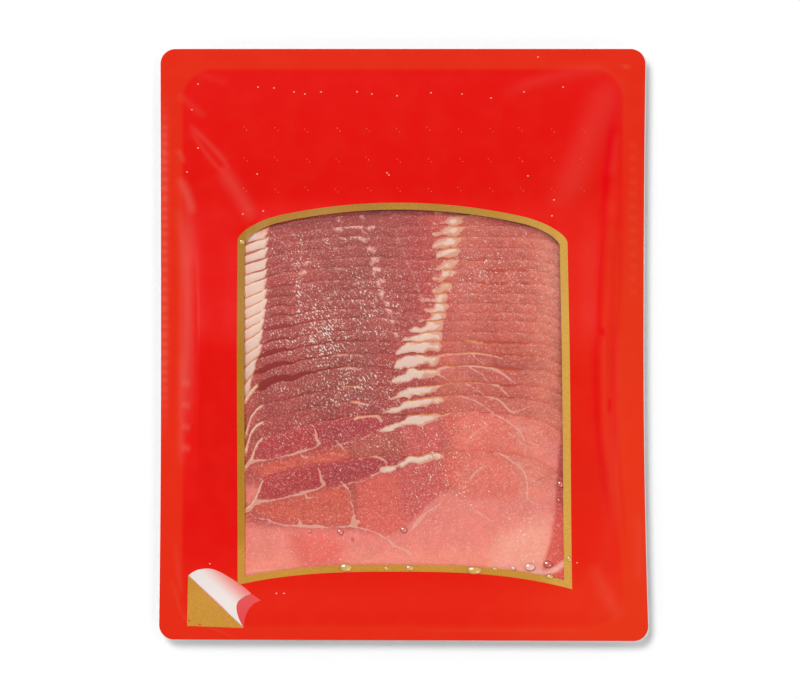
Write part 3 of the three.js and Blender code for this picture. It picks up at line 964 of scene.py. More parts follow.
# ---- Where a slice lies ----------------------------------------------------------------
# How far a head edge falls below its level part, at places across the pack, for some slices.
# This table was measured on the photo.
HEAD_PLACES = [
    SLICE_LEFT, -56, -52.3, -50.5, -48.6, -46.8, -44.6, -42.5, -39.2, -36.9, -35.5, -34.2,
    -29.5, -24.3, -19.4, -14.8, -8, -3, 3, 9,
]
HEAD_DROPS = {
    2: [13, 8, 5.7, 5.1, 4.6, 4.1, 3.6, 3.3, 2.8, 2.2, 1.9, 1.7, 1.1, 0.7, 0.2, 0.1, 0, 0, 0, 0],
    5: [12.5, 7.4, 5.1, 4.4, 3.8, 3.2, 2.5, 2.0, 1.1, 0.8, 0.7, 0.6, 0.2, -0.2, -0.5, -0.6, -0.8, -0.5,
        -0.1, 0],
    8: [12.5, 7.4, 5.0, 4.0, 3.0, 2.2, 1.4, 0.7, 0.3, 0.5, 0.4, 0.2, -0.6, -1.1, -1.3, -1.3, -1.3,
        -0.7, -0.2, 0],
    10: [13, 8, 5.5, 4.4, 3.3, 2.4, 1.4, 0.6, 0.1, 0.5, 0.3, 0, -1.0, -1.4, -1.5, -1.5, -1.4, -0.8,
        -0.2, 0],
    12: [15, 10.3, 7.7, 6.4, 5.1, 4.1, 3.0, 2.2, 1.7, 2.3, 1.9, 1.4, 0.5, -0.3, -0.5, -0.5, -0.3, -0.2,
        -0.1, 0],
    15: [22, 14.5, 10, 7.4, 5.5, 4.5, 3.5, 2.7, 2.2, 2.7, 2.3, 1.6, 0.9, -0.1, -0.4, -0.3, -0.2, -0.1,
        0, 0],
    16: [26, 19, 15.8, 10.3, 8.0, 6.6, 6.0, 5.5, 4.9, 4.2, 3.9, 3.6, 2.4, 1.4, 0.6, 0.3, 0.5, 0.4, 0.2, 0],
    17: [27, 20, 16.8, 11.3, 9.0, 8.1, 7.3, 6.7, 5.9, 5.2, 4.8, 4.5, 3.5, 2.3, 1.3, 0.9, 0.8, 0.6, 0.3, 0],
    18: [27, 20, 16.8, 14.3, 9.6, 7.7, 6.9, 6.5, 5.9, 5.0, 4.6, 4.3, 2.8, 1.8, 1.1, 0.5, 0.1, 0.4, 0.3, 0],
    19: [30, 22, 18, 16.8, 13.2, 9.0, 7.6, 6.8, 5.9, 5.2, 4.8, 4.6, 3.7, 3.1, 2.3, 1.6, 0.6, 1.2, 0.9, 0],
}
RIGHT_DROOP = {"start": 30, "reach": 20.6, "depth": 1.0, "more": 0.5, "further": 1.3}


def between_slices(index, table):
    """A row of values for a slice, from the nearest slices that the table has."""
    keys = sorted(table)
    rows = np.array([table[key] for key in keys], float)
    return read_table([index], keys, rows.reshape(len(keys), -1)).reshape(rows.shape[1:])


def head_edge(index, x):
    """Where a slice's head edge runs, as heights along Y at places across the pack."""
    left_drop = np.interp(x, HEAD_PLACES, between_slices(index, HEAD_DROPS))
    shape = RIGHT_DROOP
    loose = max(index - (SLICES - 1 - LOOSE_SLICES), 0)
    depth = shape["depth"] + shape["more"] * clamp((index - 9) / 3) + shape["further"] * loose
    right_drop = depth * np.maximum((x - shape["start"]) / shape["reach"], 0) ** 2
    right_drop = right_drop + 2.0 * np.maximum((x - 45.5) / 7, 0) ** 1.5
    rise = 0.9 * np.exp(-(((x - 22) / 7) ** 2)) * ease((index - 12) / 2)
    places = np.full(x.shape, float(index))
    wander = 0.16 * soft_noise(x, places, 4.5, 31) + 0.11 * soft_noise(x, places, 1.6, 32)
    over_wedge = ease((x + 12) / 8) * ease((18 - x) / 6)
    wander += 0.8 * over_wedge * soft_noise(x, 3.1 * places, 2.6, 33)
    return slice_heads[index] - left_drop - right_drop + rise + wander


def foot_edge(index, x):
    """Where its foot edge runs, with both ends rounded off."""
    share = np.abs(2 * x - SLICE_LEFT - SLICE_RIGHT) / (SLICE_RIGHT - SLICE_LEFT)
    return slice_feet[index] + END_ROUNDING * share**10


def slice_underside(index, x, y):
    """How high a slice lies: on the tray's floor and on the slices under it."""
    floor = np.interp(y, table_y, floor_table)
    ended = np.interp(y, table_y, ended_table)
    lifted = np.maximum(FLOOR_CLEAR + SLICE_PITCH * (index - ended), 0.05)
    return floor + lifted + swell(x, y)


# ---- What a slice shows ----------------------------------------------------------------
# Places on a slice are millimetres across the pack, and millimetres below the level part of its
# head edge. The slices come from one ham, so what one shows, the next shows a little further on.
def over_slices(index, stops, values):
    """One value for a slice, read off between the slices that have one."""
    return float(np.interp(index, stops, values))


def left_fat(index, x, under_edge):
    """The rind's fat: a broad band on most slices, a thin strip along the edge on the last ones."""
    if index >= 15:
        strip = over_slices(index, [15, 16], [1.2, 0.75]) - under_edge
        return np.minimum(strip, over_slices(index, [15, 16], [-48.0, -46.4]) - x)
    border = over_slices(index, [1, 3, 8, 12, 14], [-44.4, -44.7, -44.9, -46.5, -49.6])
    return border - 0.33 * under_edge - x


# The fat between the two big muscles, from its right tip round by the head edge. The points
# here and in the lines of fat below were read off the photo, and a program turned many of them
# into millimetres.
WEDGES = {
    1: [(20.9, 0.5), (18.9, -0.2), (16.6, 0.2), (14.9, 1.0), (13.3, 1.8), (12.0, 2.3),
        (10.6, 3.0), (12.3, 3.1), (14.3, 3.0), (15.9, 3.3), (17.6, 2.6), (19.2, 1.3)],
    3: [(18.9, 0.8), (17.2, 0.0), (14.9, 0.2), (13.0, 1.1), (11.6, 1.9), (10.6, 2.0),
        (9.8, 2.5), (10.6, 3.6), (12.6, 3.2), (14.6, 3.5), (16.6, 3.1), (17.9, 2.0)],
    4: [(18.2, 0.2), (16.3, -0.3), (14.3, -0.3), (12.8, 0.2), (12.0, 1.2), (11.3, 2.3),
        (11.0, 3.0), (12.0, 3.8), (13.0, 3.8), (14.3, 3.2), (15.9, 2.5), (17.6, 1.3)],
    6: [(16.6, 0.8), (15.6, 0.1), (13.9, 0.2), (13.0, 1.2), (12.3, 2.1), (11.0, 2.5),
        (10.0, 3.0), (11.3, 3.4), (12.3, 4.0), (13.6, 3.3), (14.9, 2.5), (15.9, 1.7)],
    8: [(14.9, 0.8), (13.9, -0.1), (12.6, -0.2), (11.6, 0.0), (11.0, 1.0), (10.6, 2.0),
        (10.3, 2.6), (10.8, 3.4), (11.6, 3.3), (12.6, 2.9), (13.6, 2.3), (14.4, 1.5)],
    11: [(13.3, 1.0), (12.3, 0.1), (10.3, 0.0), (8.5, 0.2), (7.6, 1.2), (6.0, 2.4),
         (2.1, 3.0), (4.7, 3.5), (7.7, 3.3), (10.0, 3.6), (12.0, 3.4), (13.0, 2.3)],
    13: [(12.0, 1.5), (11.0, 0.1), (8.7, 0.0), (5.7, -0.1), (2.7, 0.6), (-0.2, 1.1),
         (-2.4, 3.0), (-2.2, 4.6), (2.1, 4.1), (5.7, 3.4), (9.0, 3.2), (11.6, 2.8)],
    16: [(10.9, 1.3), (11.0, 0.0), (8.7, -0.3), (5.4, 0.2), (2.4, 0.4), (-0.2, 2.2),
         (-4.4, 4.1), (-4.0, 5.2), (0.1, 4.1), (3.7, 3.0), (7.3, 2.7), (10.0, 2.5)],
    18: [(13.3, 0.6), (11.3, 0.2), (8.7, -0.2), (4.8, 0.2), (0.8, 1.2), (-1.9, 3.4),
         (-8.2, 5.6), (-5.4, 5.2), (-2.0, 4.3), (2.0, 3.3), (7.3, 3.5), (10.6, 1.8)],
    19: [(13.2, 1.5), (13.0, -0.2), (10.0, 0.1), (5.7, 0.4), (2.4, 0.9), (-0.6, 2.9),
         (-7.3, 5.2), (-5.9, 5.9), (-0.9, 4.6), (2.7, 2.9), (7.3, 3.0), (11.0, 1.8)],
}
# Lines of fat: half widths at the start, middle and end, then the line.
LAST_VEINS = [
    # the knot at the left border, and the vein from there to the wedge's tail
    (0.35, 1.25, 0.90, [(-48.6, 14.6), (-50.0, 16.6), (-51.6, 18.2), (-53.4, 19.4)]),
    (1.00, 0.42, 0.20, [(-50.0, 16.6), (-46.8, 15.9), (-44.1, 15.8), (-42.5, 15.4)]),
    (0.12, 0.20, 0.50, [(-43.4, 15.6), (-39.5, 14.9), (-37.5, 14.2), (-35.2, 13.9), (-33.2, 13.1)]),
    (0.60, 0.24, 0.24, [(-33.6, 13.2), (-31.8, 12.8), (-30.3, 12.4), (-27.8, 11.6), (-26.4, 10.3)]),
    (0.60, 0.34, 0.05, [(-26.3, 10.3), (-27.2, 8.7), (-27.6, 6.6), (-28.4, 4.2)]),
    (0.35, 0.18, 0.03, [(-32.4, 13.4), (-31.8, 14.8), (-29.3, 14.6), (-27.4, 14.5)]),
    (0.06, 0.10, 0.03, [(-44.6, 9.5), (-43.2, 10.6), (-41.4, 11.7), (-40.0, 12.4)]),
    (0.03, 0.05, 0.20, [(-26.0, 11.2), (-22.7, 11.6), (-20.0, 10.7)]),
    (0.20, 0.42, 0.04, [(-20.8, 9.4), (-19.3, 11.0), (-18.3, 12.2), (-17.5, 13.6)]),
    (0.20, 0.13, 0.16, [(-19.6, 10.6), (-17.1, 9.9), (-14.4, 9.5), (-12.1, 8.6), (-10.1, 7.4)]),
    (0.30, 0.14, 0.34, [(-10.3, 7.5), (-8.5, 6.6), (-6.6, 5.5)]),
    # the lower vein, round the brown muscle
    (0.10, 0.13, 0.20, [(-51.2, 18.4), (-50.6, 20.1), (-48.8, 21.4), (-46.0, 21.9), (-44.5, 22.2)]),
    (0.26, 0.13, 0.22, [(-45.0, 22.0), (-42.2, 23.2), (-39.2, 23.9), (-36.8, 24.0), (-34.2, 24.2)]),
    (0.34, 0.55, 0.12, [(-34.6, 24.1), (-30.9, 24.3), (-27.6, 24.3), (-24.8, 24.8)]),
    (0.05, 0.45, 0.60, [(-34.3, 21.6), (-34.3, 22.8), (-34.0, 24.2)]),
    # the seam, and the vein on from there
    (0.05, 0.07, 0.30, [(-17.6, 13.4), (-17.4, 15.8), (-16.8, 18.2)]),
    (0.10, 0.42, 1.15, [(-16.8, 18.2), (-16.5, 20.4), (-16.5, 21.6), (-16.5, 23.6)]),
    (0.08, 0.34, 0.65, [(-22.2, 24.5), (-18.6, 24.3), (-15.0, 22.8)]),
    (0.26, 0.18, 0.26, [(-16.0, 24.5), (-12.1, 25.4), (-8.5, 26.7), (-6.2, 28.1), (-4.4, 29.3)]),
    (0.42, 0.20, 0.42, [(-4.4, 29.3), (-3.2, 30.6), (-1.2, 31.5), (0.7, 32.3), (2.1, 33.6)]),
    (0.20, 0.10, 0.06, [(2.1, 33.6), (3.1, 34.8), (4.0, 36.6)]),
    # the streak under the wedge, and a faint one running down to the right
    (0.10, 0.28, 0.22, [(13.0, 14.9), (12.0, 16.8), (10.0, 18.2), (7.6, 19.6)]),
    (0.26, 0.70, 0.14, [(7.8, 19.4), (5.4, 21.8), (3.4, 24.4), (1.7, 26.1)]),
    (0.07, 0.16, 0.07, [(16.9, 14.5), (19.2, 16.2), (21.9, 17.8), (25.2, 20.1), (28.5, 22.4),
        (32.0, 25.0)]),
    # the right-hand vein and its branches
    (0.14, 0.26, 0.28, [(29.1, -0.7), (31.8, 0.3), (33.7, 1.3), (36.1, 3.0), (38.0, 4.2)]),
    (0.34, 0.22, 0.16, [(38.0, 4.2), (39.4, 5.9), (40.3, 7.9), (40.7, 10.9), (40.7, 14.2), (41.2, 15.4)]),
    (0.16, 0.12, 0.03, [(41.2, 15.4), (39.0, 16.5), (38.4, 17.5)]),
    (0.16, 0.12, 0.03, [(41.2, 15.4), (43.3, 16.8)]),
    (0.10, 0.12, 0.03, [(36.1, 3.3), (35.1, 4.6), (35.7, 6.6)]),
    (0.12, 0.16, 0.03, [(37.8, 4.8), (40.2, 4.0), (43.0, 3.0)]),
    (0.18, 0.18, 0.03, [(41.2, 8.6), (43.0, 9.3), (45.0, 9.9)]),
    (0.05, 0.34, 0.10, [(20.5, 10.4), (22.2, 8.2), (23.3, 6.6), (25.6, 4.9), (28.0, 3.5)]),
    (0.16, 0.08, 0.03, [(41.2, 15.4), (44.0, 17.2), (46.4, 18.0)]),
    (0.03, 0.08, 0.03, [(33.4, 2.4), (35.2, 5.4), (37.4, 7.6)]),
    (0.05, 0.10, 0.05, [(34.1, 9.2), (33.1, 11.9), (31.8, 12.9)]),
    # small ones low on the slice
    (0.10, 0.10, 0.05, [(12.3, 24.1), (9.2, 25.6), (9.0, 27.4), (8.0, 28.7)]),
    (0.06, 0.15, 0.05, [(13.3, 29.0), (15.3, 31.0), (19.2, 33.7)]),
    (0.12, 0.08, 0.10, [(-5.9, 32.3), (-5.2, 35.0), (-5.5, 37.3)]),
    (0.05, 0.09, 0.06, [(-15.4, 31.7), (-16.1, 35.6), (-16.1, 37.6)]),
    (0.05, 0.11, 0.10, [(-49.0, 27.4), (-51.0, 29.4), (-51.4, 31.7), (-53.2, 34.3)]),
    (0.16, 0.16, 0.03, [(-52.6, 39.4), (-46.8, 38.7), (-40.0, 38.2), (-34.2, 37.6)]),
    (0.03, 0.05, 0.03, [(-19.4, 27.1), (-26.0, 30.7), (-32.6, 34.6)]),
]
# Lines that only one slice shows well: those that follow the head edge, and small curls.
EDGE_VEINS = {
    1: [(0.06, 0.14, 0.06, [(21.9, 0.3), (24.0, -0.1), (26.6, 0.1)])],
    2: [(0.06, 0.14, 0.06, [(21.4, 0.3), (24.0, 0.0), (27.2, -0.3)])],
    3: [(0.10, 0.22, 0.06, [(22.0, 0.6), (23.6, 0.2), (25.6, 0.0)])],
    8: [(0.04, 0.12, 0.04, [(22.5, 0.2), (25.2, 0.1)])],
    9: [(0.05, 0.14, 0.05, [(22.6, 0.2), (26.4, -0.1)])],
    10: [(0.04, 0.12, 0.04, [(31.6, 0.2), (34.8, 0.1)])],
    13: [(0.10, 0.24, 0.10, [(20.2, -0.5), (22.8, -0.2), (24.0, 0.4), (26.0, 0.6)])],
    14: [
        (0.12, 0.28, 0.10, [(-23.0, 0.4), (-19.5, 0.1), (-17.0, 0.3), (-14.4, 0.2)]),
        (0.24, 0.30, 0.14, [(11.0, 0.7), (14.3, 0.0), (18.5, -0.4), (23.5, -0.4), (28.5, 0.2),
            (32.4, 1.3)]),
        (0.22, 0.16, 0.04, [(22.5, -0.3), (23.5, 1.0), (25.2, 2.3), (27.1, 3.3)]),
        (0.04, 0.12, 0.04, [(39.0, 1.3), (41.7, 0.2), (43.3, -0.5)]),
        (0.20, 0.10, 0.04, [(11.0, 2.6), (13.0, 3.4), (14.0, 4.2)]),
    ],
    15: [
        (0.14, 0.34, 0.12, [(-20.6, 0.4), (-18.0, 0.1), (-16.2, 0.5), (-13.6, 0.3)]),
        (0.40, 0.34, 0.42, [(11.0, 0.7), (14.0, -0.2), (17.5, -0.7), (22.0, -0.7), (27.5, -0.1),
            (30.8, 1.0)]),
        (0.42, 0.28, 0.16, [(30.6, 0.9), (33.4, 2.6), (35.1, 4.0), (36.9, 5.1)]),
        (0.20, 0.20, 0.10, [(21.2, -0.7), (22.5, 0.4), (25.6, 2.0), (26.5, 3.3), (27.5, 4.4)]),
        (0.24, 0.20, 0.06, [(11.0, 2.3), (13.0, 3.0), (14.6, 4.2)]),
    ],
    16: [
        (0.34, 0.26, 0.36, [(11.0, 0.6), (14.0, -0.4), (20.0, -0.9), (26.8, -0.6), (31.1, 0.3)]),
        (0.30, 0.24, 0.14, [(30.8, 0.3), (32.4, 1.7), (33.7, 3.0), (34.9, 4.5)]),
        (0.16, 0.18, 0.06, [(20.2, -0.4), (22.5, 0.7), (24.5, 2.0), (26.4, 3.4)]),
        (0.18, 0.30, 0.10, [(-19.7, 0.9), (-17.7, 0.5), (-15.8, 0.5), (-13.1, 1.6)]),
    ],
    17: [
        (0.16, 0.16, 0.18, [(11.0, 1.0), (13.6, 0.0), (17.0, -0.7), (19.6, 0.0), (24.5, 1.8), (29.8, 5.6)]),
        (0.20, 0.32, 0.46, [(26.5, -0.2), (28.5, 0.1), (30.8, 0.8), (32.8, 2.3), (34.4, 4.2), (36.2, 5.2)]),
        (0.20, 0.14, 0.03, [(36.4, 5.0), (39.7, 3.8), (41.7, 3.1), (45.0, 2.4)]),
        (0.22, 0.42, 0.22, [(-17.3, 1.7), (-15.5, 1.9), (-13.4, 2.2), (-11.6, 2.4)]),
    ],
    18: [
        (0.24, 0.18, 0.10, [(12.3, 0.7), (14.3, 0.0), (16.6, -0.6), (20.2, -0.3)]),
        (0.50, 0.36, 0.50, [(-16.1, 1.7), (-14.4, 1.0), (-11.1, 0.7), (-8.6, 0.9), (-7.4, 2.2)]),
        (0.05, 0.12, 0.04, [(24.5, 1.3), (26.2, 2.4), (27.5, 3.7), (26.6, 4.8)]),
        (0.04, 0.12, 0.04, [(30.1, 5.0), (32.0, 6.5)]),
    ],
    19: [
        (0.26, 0.22, 0.10, [(14.6, 0.1), (16.4, -0.7), (19.0, -1.0)]),
        (0.36, 0.30, 0.36, [(-14.6, 1.8), (-13.6, 1.1), (-11.8, 0.9), (-9.4, 1.2), (-6.9, 2.1),
            (-5.6, 3.2)]),
        (0.16, 0.22, 0.34, [(-5.7, 3.2), (-5.9, 4.6), (-7.2, 5.5)]),
    ],
}


def slice_lines(index):
    """A slice's lines of fat. The last two show one pattern, a little shifted."""
    lines = list(EDGE_VEINS.get(index, []))
    if index == SLICES - 1:
        lines += LAST_VEINS
    elif index == SLICES - 2:
        for start, middle, end, points in LAST_VEINS:
            moved = [(x - 1.4, down - 0.5) if x < 0 else (x - 0.8, down + 0.4) for x, down in points]
            lines.append((0.85 * start, 0.85 * middle, 0.85 * end, moved))
    return lines


def line_field(lines, x, below):
    """How far inside the nearest line of fat each point is. Below 0, it is outside."""
    field = np.full(x.shape, FAR_OUTSIDE)
    for start, middle, end, points in lines:
        near, distance, along = beside_line(x, below, flowing(points), LINE_BOX)
        half_width = np.interp(along, [0, 0.5, 1], [start, middle, end])
        field[near] = np.maximum(field[near], half_width - distance)
    return field


def slice_fat(index, x, below, under_edge):
    """How far inside the rind's fat or the wedge each point is."""
    field = np.maximum(left_fat(index, x, under_edge), FAR_OUTSIDE)
    ring = flowing(closed(between_slices(index, WEDGES)), RING_STEPS)
    near = near_line(x, below, ring, LINE_BOX)
    depth = depth_inside(x[near], below[near], ring)
    lumps = 0.75 * soft_noise(x[near], below[near] + 9 * index, 1.9, 71)
    field[near] = np.maximum(field[near], depth + 0.22 + lumps)
    return field


def rosy_share(index, x, below):
    """Where the fat is pinker: the wedges' right halves, and most of the smaller ones."""
    wedge = between_slices(index, WEDGES)
    over_wedge = ease((x - wedge[:, 0].min() + 1) / 2)
    right_half = ease((x - wedge[:, 0].mean() - 0.5) / 2)
    small = ease((12 - index) / 4)
    right_half *= 1 - 0.5 * ease((index - 11) / 3)
    return over_wedge * np.maximum(right_half, 0.7 * small)


# Pale pink marks that make broken columns down the upper slices: half width, then the line.
PALE_MARKS = {
    1: [(0.5, [(-21.5, 1.8), (-21.6, 1.0)]), (0.15, [(-21.4, 0.8), (-20.4, 0.3), (-18.8, 0.1)]),
        (0.5, [(-14.2, 0.3), (-13.4, 0.8)])],
    2: [(0.7, [(-22.4, 0.8), (-21.2, 0.7), (-20.8, 1.2)]), (0.5, [(-19.4, 0.2), (-17.2, 0.3),
        (-14.0, 0.4)]),
        (0.2, [(-13.8, 1.5), (-11.8, 2.8)]), (0.7, [(-11.4, 0.9), (-10.2, 0.4)])],
    3: [(0.2, [(-26.6, 1.0), (-24.3, 0.2), (-21.7, 0.1), (-19.4, 0.7)]), (0.35, [(-17.4, 0.2),
        (-15.0, 0.2)]),
        (0.6, [(-14.4, 0.5), (-12.6, 1.3)])],
    4: [(0.45, [(-22.8, 0.2), (-22.0, -0.3)]), (0.7, [(-11.3, 0.3), (-9.8, 0.8)])],
    5: [(0.8, [(-10.0, -0.2), (-8.9, 0.0)]), (0.5, [(-10.7, 1.5), (-10.0, 0.8)]),
        (0.25, [(-22.2, -0.4), (-20.7, -0.5)]),
        (0.3, [(-32.6, 1.7), (-31.6, 0.5), (-29.3, -0.1)])],
    6: [(0.8, [(-9.6, -0.2), (-8.4, 0.0)]), (0.5, [(-10.2, 1.3), (-9.6, 0.9)]), (0.6, [(-33.7, 1.2),
        (-32.5, 0.8)]),
        (0.25, [(-22.4, -0.3), (-20.7, -0.5)])],
    7: [(0.6, [(-8.2, 0.8), (-7.9, -0.4), (-6.8, -0.6)]), (0.2, [(-33.7, -0.2), (-31.9, -0.6)]),
        (0.25, [(-22.7, -0.3), (-21.4, -1.0)])],
    8: [(0.7, [(-7.4, 0.5), (-7.0, -0.6)]), (0.25, [(-22.7, -0.6), (-21.4, -1.2)])],
    9: [(0.7, [(-5.9, -1.0), (-5.4, 0.0)])],
    10: [(0.7, [(-5.0, -1.2), (-4.4, -0.2)])],
    11: [(0.5, [(-4.2, -0.6), (-3.7, 0.6)])],
    12: [(0.5, [(-2.8, 0.4), (-2.4, 1.4)])],
}
SEAM_SLICES, SEAM_PLACES = [1, 3, 5, 7, 8, 9], [-3.6, -1.6, 1.6, 4.7, 5.9, 7.4]


def pale_share(index, x, below):
    """Where a slice shows soft pale marks, from 0 to 1."""
    marks = list(PALE_MARKS.get(index, []))
    if 2 <= index <= 8:
        seam_x = over_slices(index, SEAM_SLICES, SEAM_PLACES)
        marks.append((0.02 * index, [(seam_x - 0.5, 0.4), (seam_x + 0.1, 1.8), (seam_x + 0.4, 3.0)]))
    if 2 <= index <= 12:
        marks.append((0.05, [(38.4 - 0.1 * index, 0.4), (39.4, 1.2), (40.6 - 0.1 * index, 1.9)]))
    if index == 8:
        marks.append((0.5, [(5.7, 2.2), (8.0, 2.0), (10.6, 2.3)]))
    if index == 9:
        marks.append((0.4, [(7.0, 2.0), (9.2, 2.0)]))
    share = np.zeros(x.shape)
    for half_width, points in marks:
        near, distance, _ = beside_line(x, below, flowing(points), LINE_BOX)
        share[near] = np.maximum(share[near], ease((half_width + 0.35 - distance) / 0.7))
    return share


# How high the dark red band stands under a head edge at the left, for the slices that show it.
CRESCENT_PLACES = [-51, -48.1, -45.8, -42.9, -39.2, -35.6, -31.9, -28.3, -20, -10]
CRESCENTS = {
    2: [0.9, 0.3, 0, 0, 0, 0, 0, 0, 0, 0],
    3: [0.8, 0.7, 0.1, 0, 0, 0, 0, 0, 0, 0],
    4: [0.7, 0.75, 0.7, 0.2, 0, 0, 0, 0, 0, 0],
    5: [0.3, 0.6, 0.65, 0.15, 0, 0, 0, 0, 0, 0],
    6: [0.15, 0.45, 0.6, 0.25, 0, 0, 0, 0, 0, 0],
    7: [0, 0.1, 0.25, 0.5, 0.5, 0, 0, 0, 0, 0],
    8: [0, 0, 0.25, 0.5, 0.6, 0, 0, 0, 0, 0],
    9: [0, 0, 0.3, 0.5, 0.5, 0.25, 0, 0, 0, 0],
    10: [0, 0, 0.35, 0.6, 0.75, 0.4, 0.35, 0.3, 0.2, 0],
    11: [0, 0, 0.9, 1.4, 1.3, 0.5, 0.5, 0.45, 0.35, 0],
    12: [0, 0, 0.5, 0.85, 0.85, 0.35, 0.35, 0.3, 0.3, 0],
    13: [0, 0.7, 1.2, 1.5, 1.2, 0.55, 0.5, 0.45, 0.3, 0],
    14: [0, 1.0, 2.1, 1.9, 1.45, 0.6, 0.4, 0.35, 0.25, 0],
    15: [0, 1.9, 3.4, 2.6, 2.2, 1.8, 1.2, 0.6, 0.35, 0],
    16: [0, 0, 0, 0.15, 0.2, 0.2, 0, 0, 0, 0],
}


def dark_band(index, x, under_edge):
    """The dark red band that shows under a head edge at the left."""
    if index > max(CRESCENTS):
        return np.full(x.shape, FAR_OUTSIDE)
    reach = np.interp(x, CRESCENT_PLACES, between_slices(index, CRESCENTS))
    lumps = 1 + 0.2 * soft_noise(x, np.full(x.shape, 2.3 * index), 3, 55)
    field = np.where(reach > 0.03, reach * lumps - under_edge, FAR_OUTSIDE)
    if index > 6:
        field = np.minimum(field, 0.1 - left_fat(index, x, under_edge))
    return np.maximum(field, FAR_OUTSIDE)


# Browned bits of the head edge: slice, from, to, how thick in the middle.
BROWN_RIMS = [
    (5, 20.5, 28, 0.5), (6, 26.5, 34.8, 0.85), (6, 35, 41.5, 0.6), (7, 24, 34.5, 0.85),
    (7, 38, 42, 0.55), (7, -45, -38.3, 0.55), (8, -45, -38.3, 0.5), (9, -45, -37.6, 0.5),
    (10, -45, -37, 0.4), (11, -45, -37, 0.3), (12, 22, 32, 0.2), (13, 18.5, 24.5, 0.6),
    (13, 24, 30, 0.9), (13, 29.5, 37.5, 0.85), (13, 37, 41.5, 0.65), (14, 31, 40, 0.25),
    (15, 30.5, 40, 0.9), (16, 31, 37.5, 0.75), (17, 34.2, 36.5, 0.6), (10, -34.5, -20, 0.3),
    (11, -35, -10, 0.45), (12, -35, -18, 0.35), (13, -35, -4, 0.5), (14, -34, -14, 0.4),
    (15, -34, -12, 0.5), (16, -40, -22, 0.2), (17, -32, -20, 0.15), (18, -34, -18, 0.2),
    (8, -33, -24, 0.2), (9, -33, -24, 0.2),
]


def rim_width(index, x):
    """How wide the browned rim is along a head edge. It comes and goes."""
    wander = soft_noise(x, np.full(x.shape, 3.7 * index), 4, 51)
    width = -0.38 + 0.12 * wander
    for at, start, end, thickness in BROWN_RIMS:
        if at == index:
            middle = np.sin(math.pi * clamp((x - start) / (end - start)))
            within = (x > start) & (x < end)
            width = np.maximum(width, np.where(within, thickness * np.sqrt(np.abs(middle)), -1))
    fat_border = over_slices(index, [0, 14, 15, 19], [-44.6, -47.9, -46.4, -46.4])
    in_fat = over_slices(index, [4, 6, 14, 16], [0.6, 0.42, 0.42, 0.25]) + 0.15 * wander
    width = np.where(x < fat_border, in_fat, width)
    wedge = between_slices(index, WEDGES)
    over_wedge = (x > wedge[5][0]) & (x < wedge[0][0])
    width = np.where(over_wedge, np.maximum(width, 0.46 + 0.25 * wander), width)
    for _, _, _, points in EDGE_VEINS.get(index, []):
        along = (x > points[0][0]) & (x < points[-1][0]) & (abs(points[0][1]) < 2)
        width = np.where(along, np.maximum(width, 0.22 + 0.16 * wander), width)
    return width


# Lean meat's colours, as they look from left to right on the upper slices. They come from
# colours of the photo that a program printed.
UPPER_PLACES = [-55, -47, -44, -36, -24, -12, -4, 0, 8, 12, 20, 30, 40, 47, 53]
UPPER_COLOURS = [
    (205, 98, 86), (186, 81, 74), (183, 80, 75), (185, 84, 76), (175, 81, 73), (176, 85, 78),
    (184, 86, 79), (183, 81, 77), (198, 84, 78), (208, 98, 86), (214, 112, 97), (208, 101, 86),
    (214, 109, 92), (226, 128, 106), (220, 118, 94),
]
# Muscles on the last slices: colour, softness of the border, outline. These colours, too, come
# from colours of the photo that a program printed.
MUSCLES = [
    ((238, 138, 124), 2.5, [(-60, 22), (-46, 24), (-34, 24.5), (-16, 25), (-6, 26), (-1.4, 24), (5, 18),
        (12, 13), (24, 14), (40, 12), (60, 10), (60, 60), (-60, 60)]),
    ((248, 149, 128), 4.0, [(-60, 34), (0, 33), (30, 30), (60, 28), (60, 60), (-60, 60)]),
    ((236, 114, 100), 3.0, [(-38, 27), (-26, 26), (-20, 30), (-22, 37), (-34, 37)]),
    ((187, 66, 67), 1.6, [(-48, 8), (-30, 3), (-10, 0), (-3, 5), (-14, 9), (-26, 11.5), (-34, 13),
        (-47, 15.5)]),
    ((180, 66, 72), 2.0, [(-26, 4), (-14, 2), (-7, 3), (-12, 7.5), (-22, 10.5), (-26, 9)]),
    ((216, 100, 80), 1.8, [(-50, 17), (-34, 14), (-26, 12), (-18, 12), (-17, 23), (-26, 24),
        (-40, 23), (-48, 20)]),
    ((226, 106, 92), 1.6, [(-16, 10), (-4, 6), (0, 9), (0, 24), (-8, 27), (-15, 24)]),
    ((214, 98, 92), 1.4, [(-1, 5), (6, 3), (13, 4), (13, 12), (8, 17), (2, 23), (-1, 20)]),
    ((228, 110, 94), 2.0, [(13, 1), (20, 1), (20, 8), (14, 9)]),
    ((236, 126, 108), 2.5, [(18, 1), (28, 0), (36, 3), (38, 14), (28, 15), (17, 12)]),
    ((238, 140, 120), 2.5, [(35, 1), (42, 1), (46, 5), (46, 14), (39, 14), (36, 7)]),
    ((248, 168, 146), 4.0, [(30, 28), (40, 24), (48, 22), (47, 40), (30, 40)]),
]
# Marks on the last slice, in the pack's own frame: a pale streak in the corner and a blood-red spot.
CORNER_MARKS = [
    ((250, 196, 178), 1.0, [(41.7, -75.4), (46.6, -75.2), (49.5, -74.4), (51.5, -73.1), (53.4, -71.7)]),
    ((196, 62, 66), 0.5, [(-16.9, -64.0), (-16.8, -64.5)]),
]
NEXT_SHADE = 0.05  # how much a slice darkens right beside the slice on top of it


BROWN_PATCH = [(-17, 9), (-4, 5), (0, 8), (-1, 15), (-16, 17)]  # on the last slice but one
# How far right the meat shows before the film's shade begins, at distances towards the foot.
SHADE_DOWN, SHADE_X = [22, 40, 55, 65, 74, 80], [52.3, 50.6, 50.0, 48.4, 45.6, 46.5]


